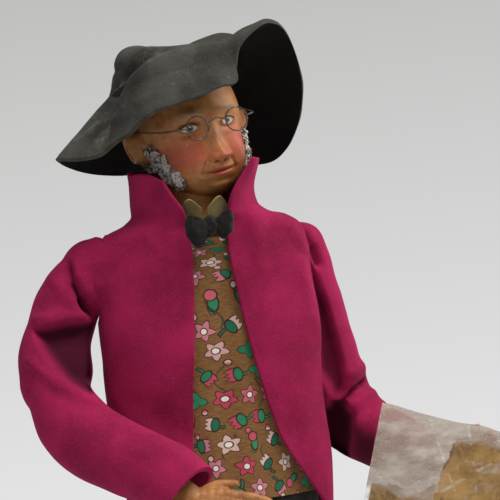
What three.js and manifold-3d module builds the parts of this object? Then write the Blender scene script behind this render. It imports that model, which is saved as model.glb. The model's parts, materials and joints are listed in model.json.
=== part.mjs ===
// A dressed composition doll, about 32 cm tall: painted head, hands and shoes on a stuffed
// body with a soft wire armature, in a felt tailcoat, a printed waistcoat and a floppy felt hat.
// Millimetres, +Z up. The doll faces -Y and stands on its soles.

import * as THREE from "three";
import { mergeVertices } from "three/addons/utils/BufferGeometryUtils.js";
import Module from "manifold-3d";

const wasm = await Module();
wasm.setup();

// Cloth, wire and clearances
const FELT = 1.8;
const COTTON = 1;
const WIRE = 1;
const BORE = WIRE + 0.3;
const GAP = 0.4;
const LAYER_GAP = 0.8;

// Heights above the floor
const HIP_HEIGHT = 132;
const TORSO_LENGTH = 114;
const NECK = HIP_HEIGHT + TORSO_LENGTH;

// Head, measured from the pit of the neck
const CHIN = 12;
const HEAD_HEIGHT = 50.6;
const HEAD_HALF_WIDTH = 18.4;
const HEAD_HALF_DEPTH = 21;
const NECK_RADIUS = 9.5;
const FLANGE_RADIUS = 13;
const FLANGE_DEPTH = 5;
const FLANGE = 2.5;
const HEAD_YAW = THREE.MathUtils.degToRad(12);
const HEAD_TILT = THREE.MathUtils.degToRad(7);
const HEAD_SIDE = 2;

// Coat
const SHOULDER_HALF = 37;
const SHOULDER_DROP = 8.5;
const SHOULDER_BACK = 3;
const CHEST_HALF = 38;
const CHEST_DEPTH = 18;
const WAIST_HALF = 36.5;
const WAIST_DEPTH = 16.4;
const HIP_HALF = 35.5;
const HIP_DEPTH = 17.5;
const COLLAR_HEIGHT = 24;
const COLLAR_RADIUS = 24.2;
const FRONT_LENGTH = 97;
const TAIL_LENGTH = 148;
const VENT_WIDTH = 1.2;
const WAISTCOAT_LENGTH = 92;

// Arms
const RIGHT_BEND = 41.7;
const LEFT_BEND = 60.6;
const RIGHT_FOREARM = 66.5;
const LEFT_FOREARM = 39.2;
const SLEEVE_TOP = 11;
const SLEEVE_MIDDLE = 11.4;
const SLEEVE_ELBOW = 13;
const CUFF_SHORT = 4;
const RIGHT_UPPER = new THREE.Vector3(-0.47, -0.23, -0.852).normalize();
const RIGHT_FORE = new THREE.Vector3(0.567, -0.511, -0.646).normalize();
const LEFT_UPPER = new THREE.Vector3(0.155, 0.125, -0.98).normalize();
const LEFT_FORE = new THREE.Vector3(0.571, -0.624, -0.534).normalize();
const RIGHT_REACH = new THREE.Vector3(0.88, -0.42, -0.22).normalize();
const LEFT_REACH = new THREE.Vector3(0.835, -0.4, 0.378).normalize();
const HAND_LENGTH = 25;

// Legs
const LEG_SPREAD = 15;
const THIGH = 12;
const HEM_RADIUS = 11;
const HEM_HEIGHT = 18;
const ANKLE_RADIUS = 6.4;
const ANKLE_TOP = 27;
const SHOE_LENGTH = 41;
const SHOE_WIDTH = 15.5;
const SOLE = 3;

// Hat
const HAT_HALF_WIDTH = 24.4;
const HAT_HALF_DEPTH = 25.2;
const CROWN_HEIGHT = 16.8;
const HAT_SIDE_SLOPE = 0.08;
const HAT_BACK_SLOPE = 0.28;
const HAT_SINK = 13.1;

// Sheet and its clear pocket
const SHEET_WIDTH = 60;
const SHEET_LENGTH = 56;
const PAPER = 0.6;
const FILM = 0.4;

const SHOULDER_Z = NECK - SHOULDER_DROP;
const RIGHT_SHOULDER = new THREE.Vector3(-SHOULDER_HALF, SHOULDER_BACK, SHOULDER_Z);
const LEFT_SHOULDER = new THREE.Vector3(SHOULDER_HALF, SHOULDER_BACK, SHOULDER_Z);
const RIGHT_ELBOW = RIGHT_SHOULDER.clone().addScaledVector(RIGHT_UPPER, RIGHT_BEND);
const LEFT_ELBOW = LEFT_SHOULDER.clone().addScaledVector(LEFT_UPPER, LEFT_BEND);
const RIGHT_WRIST = RIGHT_ELBOW.clone().addScaledVector(RIGHT_FORE, RIGHT_FOREARM);
const LEFT_WRIST = LEFT_ELBOW.clone().addScaledVector(LEFT_FORE, LEFT_FOREARM);
const RIGHT_HIP = new THREE.Vector3(-LEG_SPREAD, 0, HIP_HEIGHT);
const LEFT_HIP = new THREE.Vector3(LEG_SPREAD, 0, HIP_HEIGHT);
const DOWN = new THREE.Vector3(0, 0, -1);

// How far a soft arm bows outward between its ends, and the forearm's girth at its middle and its cuff
const RIGHT_SHAPE = { upperBow: 4.5, foreBow: 8, foreMiddle: 13.8, cuff: 12 };
const LEFT_SHAPE = { upperBow: 0, foreBow: 1.5, foreMiddle: 11.6, cuff: 10.2 };

const doll = new THREE.Group();
doll.name = "composition_doll";

// Finishes
const SKIN = { color: 0xbd7f52, roughness: 0.45 };
const MAGENTA = { color: 0x9a1f52, roughness: 0.95 };
const CHARCOAL = { color: 0x45443f, roughness: 0.95 };
const PRINT = { color: 0xa07543, roughness: 0.9 };
const CREAM = { color: 0xb9a878, roughness: 0.9 };
const BLACK_CLOTH = { color: 0x26231f, roughness: 0.9 };
const CALICO = { color: 0xc9b896, roughness: 0.95 };
const STEEL = { color: 0x8a8a86, roughness: 0.4, metalness: 1 };
const MOHAIR = { color: 0xa9a59b, roughness: 0.95 };
const SHOE_BLACK = { color: 0x1d1a18, roughness: 0.35 };
const VELLUM = { color: 0xa37c3c, roughness: 0.85 };
const CLEAR = { color: 0xcfc6bb, roughness: 0.25, transparent: true, opacity: 0.4 };

function add(name, geometry, finish, parent = doll) {
  const mesh = new THREE.Mesh(geometry, new THREE.MeshStandardMaterial(finish));
  mesh.name = name;
  parent.add(mesh);
  return mesh;
}

// Closed surfaces

function outward(geometry) {
  const p = geometry.attributes.position;
  const index = geometry.index.array;
  const a = new THREE.Vector3();
  const b = new THREE.Vector3();
  const c = new THREE.Vector3();
  let volume = 0;
  for (let i = 0; i < index.length; i += 3) {
    a.fromBufferAttribute(p, index[i]);
    b.fromBufferAttribute(p, index[i + 1]);
    c.fromBufferAttribute(p, index[i + 2]);
    volume += a.dot(b.cross(c));
  }
  if (volume < 0) {
    for (let i = 0; i < index.length; i += 3) {
      [index[i + 1], index[i + 2]] = [index[i + 2], index[i + 1]];
    }
  }
  geometry.computeVertexNormals();
  return geometry;
}

function surfaceOf(points, faces) {
  const geometry = new THREE.BufferGeometry();
  geometry.setAttribute("position", new THREE.Float32BufferAttribute(points.flatMap((v) => v.toArray()), 3));
  geometry.setIndex(faces.flat());
  return outward(geometry);
}

function welded(geometry) {
  const bare = geometry.clone();
  bare.deleteAttribute("normal");
  bare.deleteAttribute("uv");
  return outward(mergeVertices(bare, 1e-4));
}

// A sheet of cloth: the face point(u, v) given a thickness on the side of du x dv
function cloth(face, thickness, across, down, wraps = false) {
  const columns = wraps ? across : across + 1;
  const step = 1e-3;
  const low = (t) => Math.max(t - step, 0);
  const high = (t) => Math.min(t + step, 1);
  const outer = [];
  const inner = [];
  for (let j = 0; j <= down; j++) {
    for (let i = 0; i < columns; i++) {
      const u = i / across;
      const v = j / down;
      const du = wraps
        ? face((u + step) % 1, v).sub(face((u + 1 - step) % 1, v))
        : face(high(u), v).sub(face(low(u), v));
      const dv = face(u, high(v)).sub(face(u, low(v)));
      const point = face(u, v);
      outer.push(point);
      inner.push(point.clone().addScaledVector(du.cross(dv).normalize(), thickness));
    }
  }
  const size = outer.length;
  const at = (i, j) => j * columns + (i % columns);
  const faces = [];
  for (let j = 0; j < down; j++) {
    for (let i = 0; i < across; i++) {
      const [a, b, c, d] = [at(i, j), at(i + 1, j), at(i + 1, j + 1), at(i, j + 1)];
      faces.push([a, c, b], [a, d, c]);
      faces.push([size + a, size + b, size + c], [size + a, size + c, size + d]);
    }
  }
  for (let i = 0; i < across; i++) {
    const [a, b] = [at(i, 0), at(i + 1, 0)];
    const [c, d] = [at(i, down), at(i + 1, down)];
    faces.push([a, b, size + b], [a, size + b, size + a]);
    faces.push([c, size + d, d], [c, size + c, size + d]);
  }
  for (let j = 0; j < down && !wraps; j++) {
    const [a, d] = [at(0, j), at(0, j + 1)];
    const [b, c] = [at(across, j), at(across, j + 1)];
    faces.push([a, size + d, d], [a, size + a, size + d]);
    faces.push([b, c, size + c], [b, size + c, size + b]);
  }
  return surfaceOf([...outer, ...inner], faces);
}

// A solid skinned over closed rings of equal count, with a fan over each end
function loft(rings) {
  const count = rings[0].length;
  const points = rings.flat();
  const faces = [];
  for (let k = 0; k < rings.length - 1; k++) {
    for (let i = 0; i < count; i++) {
      const next = (i + 1) % count;
      const [a, b] = [k * count + i, k * count + next];
      faces.push([a, b, b + count], [a, b + count, a + count]);
    }
  }
  for (const [k, turn] of [[0, 1], [rings.length - 1, 0]]) {
    const middle = rings[k].reduce((sum, v) => sum.add(v), new THREE.Vector3()).divideScalar(count);
    points.push(middle);
    for (let i = 0; i < count; i++) {
      const [a, b] = [k * count + i, k * count + ((i + 1) % count)];
      faces.push(turn ? [b, a, points.length - 1] : [a, b, points.length - 1]);
    }
  }
  return surfaceOf(points, faces);
}

// A turned form about +Z, from points of radius and height
function turned(points, sides) {
  const outline = points.map(([r, h]) => new THREE.Vector2(Math.max(r, 0), h));
  return welded(new THREE.LatheGeometry(outline, sides).rotateX(Math.PI / 2));
}

function arc(radius, from, to, steps) {
  const points = [];
  for (let i = 0; i <= steps; i++) {
    const angle = from + ((to - from) * i) / steps;
    points.push([radius * Math.cos(angle), radius * Math.sin(angle)]);
  }
  return points;
}

// A finger-like form along a curve: radius(t), closed by a rounded tip
function taper(points, radius, sides, steps) {
  const curve = new THREE.CatmullRomCurve3(points);
  const frames = curve.computeFrenetFrames(steps, false);
  const rings = [];
  for (let k = 0; k <= steps; k++) {
    const t = k / steps;
    const tip = Math.sqrt(Math.max(0.08, 1 - Math.max(0, (t - 0.8) / 0.2) ** 2));
    const centre = curve.getPointAt(t);
    const ring = [];
    for (let i = 0; i < sides; i++) {
      const angle = (i / sides) * Math.PI * 2;
      const r = radius(t) * tip;
      const point = centre.clone().addScaledVector(frames.normals[k], r * Math.cos(angle));
      ring.push(point.addScaledVector(frames.binormals[k], r * Math.sin(angle)));
    }
    rings.push(ring);
  }
  return loft(rings);
}

// Round wire along a path
function wire(points, radius) {
  const path = new THREE.CatmullRomCurve3(points);
  const circle = new THREE.Shape().absarc(0, 0, radius, 0, Math.PI * 2);
  const steps = points.length > 2 ? points.length * 2 : 1;
  const options = { steps, curveSegments: 3, bevelEnabled: false, extrudePath: path };
  return welded(new THREE.ExtrudeGeometry(circle, options));
}

// Moves a form made about +Z to start at a point and run along a direction
function along(geometry, start, direction) {
  const turn = new THREE.Quaternion().setFromUnitVectors(new THREE.Vector3(0, 0, 1), direction);
  return geometry.clone().applyQuaternion(turn).translate(start.x, start.y, start.z);
}

// Bows a form to one side between its start and a length along a direction, most in its first half
const bowShare = (s) => (s <= 0 || s >= 1 ? 0 : Math.sin(Math.PI * s ** 0.75) ** 1.2);

function bowed(geometry, start, direction, length, bow) {
  const p = geometry.attributes.position;
  const point = new THREE.Vector3();
  for (let i = 0; i < p.count; i++) {
    point.fromBufferAttribute(p, i);
    const share = bowShare(point.clone().sub(start).dot(direction) / length);
    point.addScaledVector(bow, share);
    p.setXYZ(i, point.x, point.y, point.z);
  }
  return outward(geometry);
}

// The direction in which an elbow points away from the other half of its arm
function away(along, other, size) {
  const out = other.clone().addScaledVector(along, -other.dot(along)).normalize();
  return out.multiplyScalar(size);
}

// Joins and cuts

function solidOf(geometry) {
  const bare = welded(geometry);
  const mesh = new wasm.Mesh({
    numProp: 3,
    vertProperties: new Float32Array(bare.attributes.position.array),
    triVerts: new Uint32Array(bare.index.array),
  });
  return new wasm.Manifold(mesh);
}

function geometryOf(solid) {
  const mesh = solid.getMesh();
  const geometry = new THREE.BufferGeometry();
  geometry.setAttribute("position", new THREE.BufferAttribute(new Float32Array(mesh.vertProperties), 3));
  geometry.setIndex(new THREE.BufferAttribute(new Uint32Array(mesh.triVerts), 1));
  return welded(geometry);
}

function largest(solid) {
  const bodies = solid.decompose();
  return bodies.sort((p, q) => q.volume() - p.volume())[0];
}

function joined(...geometries) {
  return geometryOf(geometries.map(solidOf).reduce((sum, next) => sum.add(next)));
}

function cutBy(geometry, ...cutters) {
  const left = cutters.map(solidOf).reduce((rest, next) => rest.subtract(next), solidOf(geometry));
  return geometryOf(largest(left));
}

// A smooth rise and fall through rows of position and values, in rising order of position
function profile(rows) {
  const last = rows.length - 1;
  const columns = rows[0].length - 1;
  const slope = (i, c) => (rows[i + 1][c] - rows[i][c]) / (rows[i + 1][0] - rows[i][0]);
  const tangent = (i, c) => {
    if (i === 0 || i === last) {
      return slope(Math.min(i, last - 1), c);
    }
    const [p, q] = [slope(i - 1, c), slope(i, c)];
    return p * q <= 0 ? 0 : (2 * p * q) / (p + q);
  };
  return (at) => {
    const x = THREE.MathUtils.clamp(at, rows[0][0], rows[last][0]);
    let i = 0;
    while (i < last - 1 && x > rows[i + 1][0]) {
      i += 1;
    }
    const width = rows[i + 1][0] - rows[i][0];
    const s = (x - rows[i][0]) / width;
    const values = [];
    for (let c = 1; c <= columns; c++) {
      const start = rows[i][c] * (1 + 2 * s) * (1 - s) ** 2 + tangent(i, c) * width * s * (1 - s) ** 2;
      const end = rows[i + 1][c] * s * s * (3 - 2 * s) - tangent(i + 1, c) * width * s * s * (1 - s);
      values.push(start + end);
    }
    return values;
  };
}

// The dressed figure: half width, half depth and squareness against height from the neck pit
const figure = profile([
  [-TAIL_LENGTH, HIP_HALF - 1, HIP_DEPTH + 3.5, 2.3],
  [-WAISTCOAT_LENGTH, HIP_HALF, HIP_DEPTH, 2.4],
  [-62, WAIST_HALF, WAIST_DEPTH, 2.4],
  [-32, CHEST_HALF, CHEST_DEPTH, 2.4],
  [-14, CHEST_HALF, CHEST_DEPTH, 2.4],
  [-6, CHEST_HALF - 0.6, CHEST_DEPTH, 2.3],
  [0, CHEST_HALF - 2.5, CHEST_DEPTH, 2.3],
  [3.5, CHEST_HALF - 6.5, CHEST_DEPTH + 0.5, 2.2],
  [6, COLLAR_RADIUS + 1, COLLAR_RADIUS - 4, 2.1],
  [9, COLLAR_RADIUS - 1.6, COLLAR_RADIUS - 2.4, 2],
  [13, COLLAR_RADIUS - 1.2, COLLAR_RADIUS - 1.2, 2],
  [COLLAR_HEIGHT, COLLAR_RADIUS, COLLAR_RADIUS, 2],
]);

// What is worn under the coat narrows toward the neck, clear of the coat's sloping shoulders
const tuck = (z) => 11 * THREE.MathUtils.smoothstep(z - NECK, -14, 1);

function section(angle, z, inset = 0) {
  const [half, depth, square] = figure(z - NECK);
  const s = Math.sin(angle);
  const c = Math.cos(angle);
  const narrow = inset > 0 ? tuck(z) : 0;
  const corner = c > 0 ? square : 2;
  const x = (half - inset - narrow) * Math.sign(s) * Math.abs(s) ** (2 / corner);
  const y = -(depth - inset) * Math.sign(c) * Math.abs(c) ** (2 / corner);
  return new THREE.Vector3(x, y, z);
}

// Heights of the cloth's rows, closest where the figure turns in at the shoulders
const ROWS = [COLLAR_HEIGHT, 18, 13, 9, 6, 3.5, 0, -6, -14, -32, -47, -62, -77, -WAISTCOAT_LENGTH, -108, -128];

function rowsBetween(top, bottom) {
  return [top, ...ROWS.filter((row) => row < top - 1 && row > bottom + 1), bottom];
}

function heightAt(rows, v) {
  const place = v * (rows.length - 1);
  const i = Math.min(Math.floor(place), rows.length - 2);
  return NECK + rows[i] + (place - i) * (rows[i + 1] - rows[i]);
}

// The angle from the front at which the figure is x wide
function angleAt(x, z) {
  const [half, , square] = figure(z - NECK);
  return Math.asin(Math.min(x / half, 1) ** (square / 2));
}

// Room that a limb takes out of its neighbours, its facets outside the round that they clear
const ROOM_SIDES = 16;
const FACET_RISE = 1 / Math.cos(Math.PI / ROOM_SIDES) ** 2;

const STOPS = [0.2, 0.45, 0.75];

function room(start, direction, length, radius, middle = radius, end = radius) {
  const girth = profile([[0, radius], [length * 0.55, middle], [length, end]]);
  const points = arc(radius * FACET_RISE, -Math.PI / 2, 0, ROOM_SIDES / 4);
  for (const stop of [...STOPS, 1]) {
    points.push([girth(stop * length)[0] * FACET_RISE, stop * length]);
  }
  return along(turned([...points, [0, length]], ROOM_SIDES), start, direction);
}

const RIGHT_BOW = away(RIGHT_UPPER, RIGHT_FORE, -RIGHT_SHAPE.upperBow);
const LEFT_BOW = away(LEFT_UPPER, LEFT_FORE, -LEFT_SHAPE.upperBow);

function armRooms(spare) {
  const radii = [SLEEVE_TOP, SLEEVE_MIDDLE, SLEEVE_ELBOW].map((radius) => radius + spare);
  const rightRoom = room(RIGHT_SHOULDER, RIGHT_UPPER, RIGHT_BEND, ...radii);
  const leftRoom = room(LEFT_SHOULDER, LEFT_UPPER, LEFT_BEND, ...radii);
  return [
    bowed(rightRoom, RIGHT_SHOULDER, RIGHT_UPPER, RIGHT_BEND, RIGHT_BOW),
    bowed(leftRoom, LEFT_SHOULDER, LEFT_UPPER, LEFT_BEND, LEFT_BOW),
  ];
}

// The stuffed body stands off further than the cloth, since a bowed arm sweeps wider as it lifts
const clothRooms = armRooms(GAP);
const bodyRooms = armRooms(GAP + 0.6);

// Room for the legs to swing forward from the hips
const legRooms = [RIGHT_HIP, LEFT_HIP].map((hip) => room(hip, DOWN, 30, THIGH + GAP));
const lapRoom = new THREE.BoxGeometry(120, 60, 40).translate(0, -32, HIP_HEIGHT + THIGH + GAP - 20);

// Coat: two cutaway fronts and a back with tails, the standing collar cut in one with them
const frontEdge = profile([
  [-FRONT_LENGTH, 25, 30.5],
  [-84, 17, 23.5],
  [-72, 13.5, 18],
  [-50, 11, 12.5],
  [-25, 8, 8.4],
  [-3, 6.3, 6.3],
  [8, 8, 8],
  [COLLAR_HEIGHT, 15.5, 15.5],
]);

function coatFront(side) {
  const rows = rowsBetween(COLLAR_HEIGHT, -FRONT_LENGTH);
  const face = (u, v) => {
    const z = heightAt(rows, v);
    const start = angleAt(frontEdge(z - NECK)[side > 0 ? 1 : 0], z);
    const seam = Math.PI / 2 - 0.012;
    const angle = side > 0 ? start + u * (seam - start) : -seam + u * (seam - start);
    return section(angle, z);
  };
  return cutBy(cloth(face, FELT, 6, rows.length - 1), ...clothRooms);
}

function coatBack() {
  const rows = rowsBetween(COLLAR_HEIGHT, -TAIL_LENGTH);
  const face = (u, v) => {
    const z = heightAt(rows, v);
    const fold = 0.7 * Math.max(0, -(z - NECK) - 80) / 60;
    const angle = Math.PI / 2 + u * Math.PI;
    const point = section(angle, z);
    point.y += fold * Math.cos(angle * 8);
    return point;
  };
  const vent = new THREE.BoxGeometry(VENT_WIDTH, 30, TAIL_LENGTH - FRONT_LENGTH);
  vent.translate(0, HIP_DEPTH, NECK - (TAIL_LENGTH + FRONT_LENGTH) / 2 - 1);
  return cutBy(cloth(face, FELT, 12, rows.length - 1), ...clothRooms, vent);
}

add("coat_right_front", coatFront(-1), MAGENTA);
add("coat_left_front", coatFront(1), MAGENTA);
add("coat_back", coatBack(), MAGENTA);

// Waistcoat in two halves under the coat
function waistcoat(middle) {
  const rows = rowsBetween(-1, -WAISTCOAT_LENGTH);
  const face = (u, v) => {
    const angle = middle + (u - 0.5) * (Math.PI - 0.03);
    return section(angle, heightAt(rows, v), FELT + LAYER_GAP);
  };
  return cutBy(cloth(face, COTTON, 12, rows.length - 1), ...clothRooms);
}

add("waistcoat_front", waistcoat(0), PRINT);
add("waistcoat_back", waistcoat(Math.PI), PRINT);

// Trouser seat under the waistcoat, cut away in front for the legs to swing
const SEAT_INSET = FELT + COTTON + LAYER_GAP + GAP;
const SEAT_TOP = NECK - WAISTCOAT_LENGTH + 6;
const SEAT_BOTTOM = HIP_HEIGHT + 2;

function trouserSeat() {
  const face = (u, v) => section(u * Math.PI * 2, SEAT_TOP - v * (SEAT_TOP - SEAT_BOTTOM), SEAT_INSET);
  return cutBy(cloth(face, COTTON, 20, 3, true), ...legRooms, lapRoom);
}

add("trouser_seat", trouserSeat(), BLACK_CLOTH);

// Stuffed torso, bored for the armature and pocketed for the neck flange
const PADDING_INSET = SEAT_INSET + COTTON + GAP;
const PADDING_TOP = NECK + 1;
const SPINE_TOP = NECK - FLANGE_DEPTH - 6;
const SHOULDER_WIRE_Y = SHOULDER_BACK;
const SPINE_Y = SHOULDER_WIRE_Y + 2 * WIRE + 0.3;
const HIP_WIRE_Z = HIP_HEIGHT + THIGH + 4;

function torsoPadding() {
  const rings = [];
  const rows = rowsBetween(PADDING_TOP - NECK, SEAT_BOTTOM - NECK);
  for (const row of rows) {
    const z = NECK + row;
    const ring = [];
    for (let i = 0; i < 20; i++) {
      ring.push(section((i / 20) * Math.PI * 2, z, PADDING_INSET));
    }
    rings.push(ring);
  }
  const socket = turned(
    [
      [0, -FLANGE_DEPTH - FLANGE - GAP],
      [FLANGE_RADIUS + GAP, -FLANGE_DEPTH - FLANGE - GAP],
      [FLANGE_RADIUS + GAP, -FLANGE_DEPTH + GAP],
      [NECK_RADIUS + GAP, -FLANGE_DEPTH + GAP],
      [NECK_RADIUS + GAP, 4],
      [0, 4],
    ],
    28
  ).translate(0, 0, NECK);
  const spineBore = new THREE.CylinderGeometry(BORE, BORE, SPINE_TOP - SEAT_BOTTOM + 20, 10).rotateX(Math.PI / 2);
  spineBore.translate(0, SPINE_Y, (SPINE_TOP + SEAT_BOTTOM) / 2 - 9.7);
  const acrossBore = new THREE.CylinderGeometry(BORE, BORE, 120, 10).rotateZ(Math.PI / 2);
  const shoulderBore = acrossBore.clone().translate(0, SHOULDER_WIRE_Y, SHOULDER_Z);
  const hipBore = acrossBore.clone().translate(0, SHOULDER_WIRE_Y, HIP_WIRE_Z);
  return cutBy(loft(rings), ...bodyRooms, ...legRooms, lapRoom, socket, spineBore, shoulderBore, hipBore);
}

add("torso_padding", torsoPadding(), CALICO);

const SHOULDER_WIRE_HALF = SHOULDER_HALF - SLEEVE_TOP - 1.2;
const HIP_WIRE_HALF = LEG_SPREAD + 8;
const shoulderEnds = [-1, 1].map((s) => new THREE.Vector3(s * SHOULDER_WIRE_HALF, SHOULDER_WIRE_Y, SHOULDER_Z));
const hipEnds = [-1, 1].map((s) => new THREE.Vector3(s * HIP_WIRE_HALF, SHOULDER_WIRE_Y, HIP_WIRE_Z));
const spineEnds = [new THREE.Vector3(0, SPINE_Y, SEAT_BOTTOM + 1), new THREE.Vector3(0, SPINE_Y, SPINE_TOP)];
add("shoulder_wire", wire(shoulderEnds, WIRE), STEEL);
add("spine_wire", wire(spineEnds, WIRE), STEEL);
add("hip_wire", wire(hipEnds, WIRE), STEEL);

// Neck: the drawstring over the flange, the shirt collar and the bow
const DRAWSTRING = 0.9;
const STRING_RADIUS = NECK_RADIUS + GAP + DRAWSTRING + 0.5;
const drawstring = new THREE.TorusGeometry(STRING_RADIUS, DRAWSTRING, 6, 20);
add("neck_drawstring", welded(drawstring).translate(0, 0, PADDING_TOP + DRAWSTRING + 0.3), CREAM);

const SHIRT_RADIUS = STRING_RADIUS + DRAWSTRING + GAP + COTTON;
const SHIRT_HEIGHT = 10;

function shirtCollar() {
  const face = (u, v) => {
    const angle = 0.2 + u * (Math.PI * 2 - 0.4);
    const front = Math.exp(-((Math.min(u, 1 - u) / 0.09) ** 2));
    const lean = (1 - v) ** 2 * (1 + 1.2 * front);
    const z = PADDING_TOP + 0.4 + (1 - v) * (SHIRT_HEIGHT + 2.5 * front);
    const r = SHIRT_RADIUS + lean;
    return new THREE.Vector3(r * Math.sin(angle), -r * Math.cos(angle), z);
  };
  return cloth(face, COTTON, 22, 3);
}

add("shirt_collar", shirtCollar(), CREAM);

const BOW_FRONT = -(COLLAR_RADIUS - 1.2);
const BOW_Z = NECK + 3;

function bowLoop(side) {
  const loop = new THREE.SphereGeometry(1, 14, 9);
  const p = loop.attributes.position;
  for (let i = 0; i < p.count; i++) {
    const out = (p.getX(i) + 1) / 2;
    const pinch = 0.35 + 0.65 * Math.sin(Math.min(out * 1.25, 1) * Math.PI * 0.5);
    const pleat = 1 + 0.18 * Math.cos(Math.atan2(p.getZ(i), p.getY(i)) * 5) * (1 - out);
    p.setXYZ(i, p.getX(i) * 3.6, p.getY(i) * 1.9 * pinch, p.getZ(i) * 5.4 * pinch * pleat);
  }
  return welded(loop).rotateY(-0.3).scale(side, 1, 1).translate(side * 5.1, BOW_FRONT, BOW_Z);
}

const BAND_RADIUS = SHIRT_RADIUS + 1 + GAP + COTTON;
const KNOT_DEPTH = (-BOW_FRONT + 2 - BAND_RADIUS - GAP) / 2;
const knotForm = (grow) => {
  const ball = welded(new THREE.SphereGeometry(1, 10, 7)).scale(2.2 + grow, KNOT_DEPTH + grow, 2.8 + grow);
  return ball.translate(0, -BAND_RADIUS - GAP - KNOT_DEPTH, BOW_Z);
};
const knot = knotForm(0);
const knotRoom = knotForm(GAP);
const band = [
  [BAND_RADIUS - COTTON, 0],
  [BAND_RADIUS, 0],
  [BAND_RADIUS, 4],
  [BAND_RADIUS - COTTON, 4],
  [BAND_RADIUS - COTTON, 0],
];
add("bow_band", turned(band, 24).translate(0, 0, PADDING_TOP + 0.4), BLACK_CLOTH);
add("bow_right_loop", cutBy(outward(bowLoop(-1)), knotRoom), BLACK_CLOTH);
add("bow_left_loop", cutBy(bowLoop(1), knotRoom), BLACK_CLOTH);
add("bow_knot", knot, BLACK_CLOTH);

// Head: skull and jaw blended, then the features pushed out of the form
const HEAD_TOP = CHIN + HEAD_HEIGHT;
const EYE_LEVEL = CHIN + HEAD_HEIGHT * 0.5;
const NOSE_BASE = CHIN + HEAD_HEIGHT * 0.26;
const MOUTH_LEVEL = CHIN + HEAD_HEIGHT * 0.18;
const EYE_SPREAD = HEAD_HALF_WIDTH * 0.4;
const SKULL = { y: 3, z: HEAD_TOP - 22.6, rx: HEAD_HALF_WIDTH, ry: HEAD_HALF_DEPTH, rz: 22.6 };
const JAW = { y: -3.6, z: CHIN + 14, rx: HEAD_HALF_WIDTH - 3.6, ry: HEAD_HALF_DEPTH - 6.6, rz: 14 };
const RAY_Y = -1;
const RAY_Z = (SKULL.z + JAW.z) / 2;

// How far a ray from inside the head runs to an ellipsoid
function reach(ray, form) {
  const d = new THREE.Vector3(ray.x / form.rx, ray.y / form.ry, ray.z / form.rz);
  const o = new THREE.Vector3(0, (RAY_Y - form.y) / form.ry, (RAY_Z - form.z) / form.rz);
  const b = o.dot(d);
  const a = d.lengthSq();
  return (-b + Math.sqrt(b * b - a * (o.lengthSq() - 1))) / a;
}

const hump = (x, z, width, height) => Math.exp(-((x / width) ** 2) - (z / height) ** 2);

function headPoint(ray) {
  const skull = reach(ray, SKULL);
  const jaw = reach(ray, JAW);
  const r = (skull ** 14 + jaw ** 14) ** (1 / 14);
  const point = new THREE.Vector3(ray.x * r, RAY_Y + ray.y * r, RAY_Z + ray.z * r);
  const facing = THREE.MathUtils.smoothstep(-point.y, 2, 12);
  const side = Math.abs(point.x);
  const noseRun = (EYE_LEVEL + 2 - point.z) / (EYE_LEVEL + 2 - NOSE_BASE);
  const nose = Math.max(0, noseRun) * (1 - THREE.MathUtils.smoothstep(noseRun, 0.92, 1.3));
  let push = 5.6 * nose * Math.exp(-((point.x / (1.9 + 1.4 * nose)) ** 2));
  push += 1 * hump(side - EYE_SPREAD, point.z - EYE_LEVEL - 5.5, 5, 2);
  push -= 1.5 * hump(side - EYE_SPREAD, point.z - EYE_LEVEL, 3.6, 2.8);
  push += 0.9 * hump(side - EYE_SPREAD, point.z - EYE_LEVEL, 2, 1.5);
  push += 1.1 * hump(side - 9.5, point.z - NOSE_BASE - 3, 4.5, 4);
  push += 0.9 * hump(point.x, point.z - MOUTH_LEVEL, 4.6, 2);
  push += 1.2 * hump(point.x, point.z - CHIN - 3.5, 5, 3);
  point.y -= push * facing;
  const ear = hump(point.y - 3.5, point.z - EYE_LEVEL + 3, 2.6, 4.6);
  point.x += Math.sign(ray.x) * 2.6 * ear * THREE.MathUtils.smoothstep(side, 10, 16);
  return point;
}

function headForm() {
  const ball = welded(new THREE.SphereGeometry(1, 38, 24).rotateX(Math.PI / 2));
  const p = ball.attributes.position;
  const ray = new THREE.Vector3();
  for (let i = 0; i < p.count; i++) {
    const point = headPoint(ray.fromBufferAttribute(p, i).normalize());
    p.setXYZ(i, point.x, point.y, point.z);
  }
  return outward(ball);
}

const headGroup = new THREE.Group();
headGroup.rotation.set(0, -HEAD_TILT, HEAD_YAW, "ZYX");
headGroup.position.set(0, 0, -RAY_Z).applyEuler(headGroup.rotation);
headGroup.position.add(new THREE.Vector3(HEAD_SIDE, 0, NECK + RAY_Z));
headGroup.updateMatrix();
doll.add(headGroup);

const face = headForm();
const neck = turned(
  [
    [0, -FLANGE_DEPTH - FLANGE],
    [FLANGE_RADIUS, -FLANGE_DEPTH - FLANGE],
    [FLANGE_RADIUS, -FLANGE_DEPTH],
    [NECK_RADIUS, -FLANGE_DEPTH],
    [NECK_RADIUS, CHIN],
    [NECK_RADIUS - 2, CHIN + 8],
    [0, CHIN + 8],
  ],
  28
).translate(0, 0, NECK);
add("head", joined(face.clone().applyMatrix4(headGroup.matrix), neck), SKIN);

// Mohair: side whiskers along the jaw and hair at the nape, cut to lie on the head
const headRoom = face.clone().translate(0, 0, -RAY_Z).scale(1.022, 1.022, 1.022).translate(0, 0, RAY_Z);

function mohair(radii, centre, lean) {
  const tuft = welded(new THREE.SphereGeometry(1, 14, 10));
  const p = tuft.attributes.position;
  for (let i = 0; i < p.count; i++) {
    const curl = 1 + 0.07 * Math.sin(9 * p.getX(i) + 4 * p.getZ(i)) * Math.cos(8 * p.getY(i) - 3 * p.getZ(i));
    p.setXYZ(i, p.getX(i) * radii[0] * curl, p.getY(i) * radii[1] * curl, p.getZ(i) * radii[2] * curl);
  }
  return cutBy(outward(tuft.rotateX(lean).translate(...centre)), headRoom);
}

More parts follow.
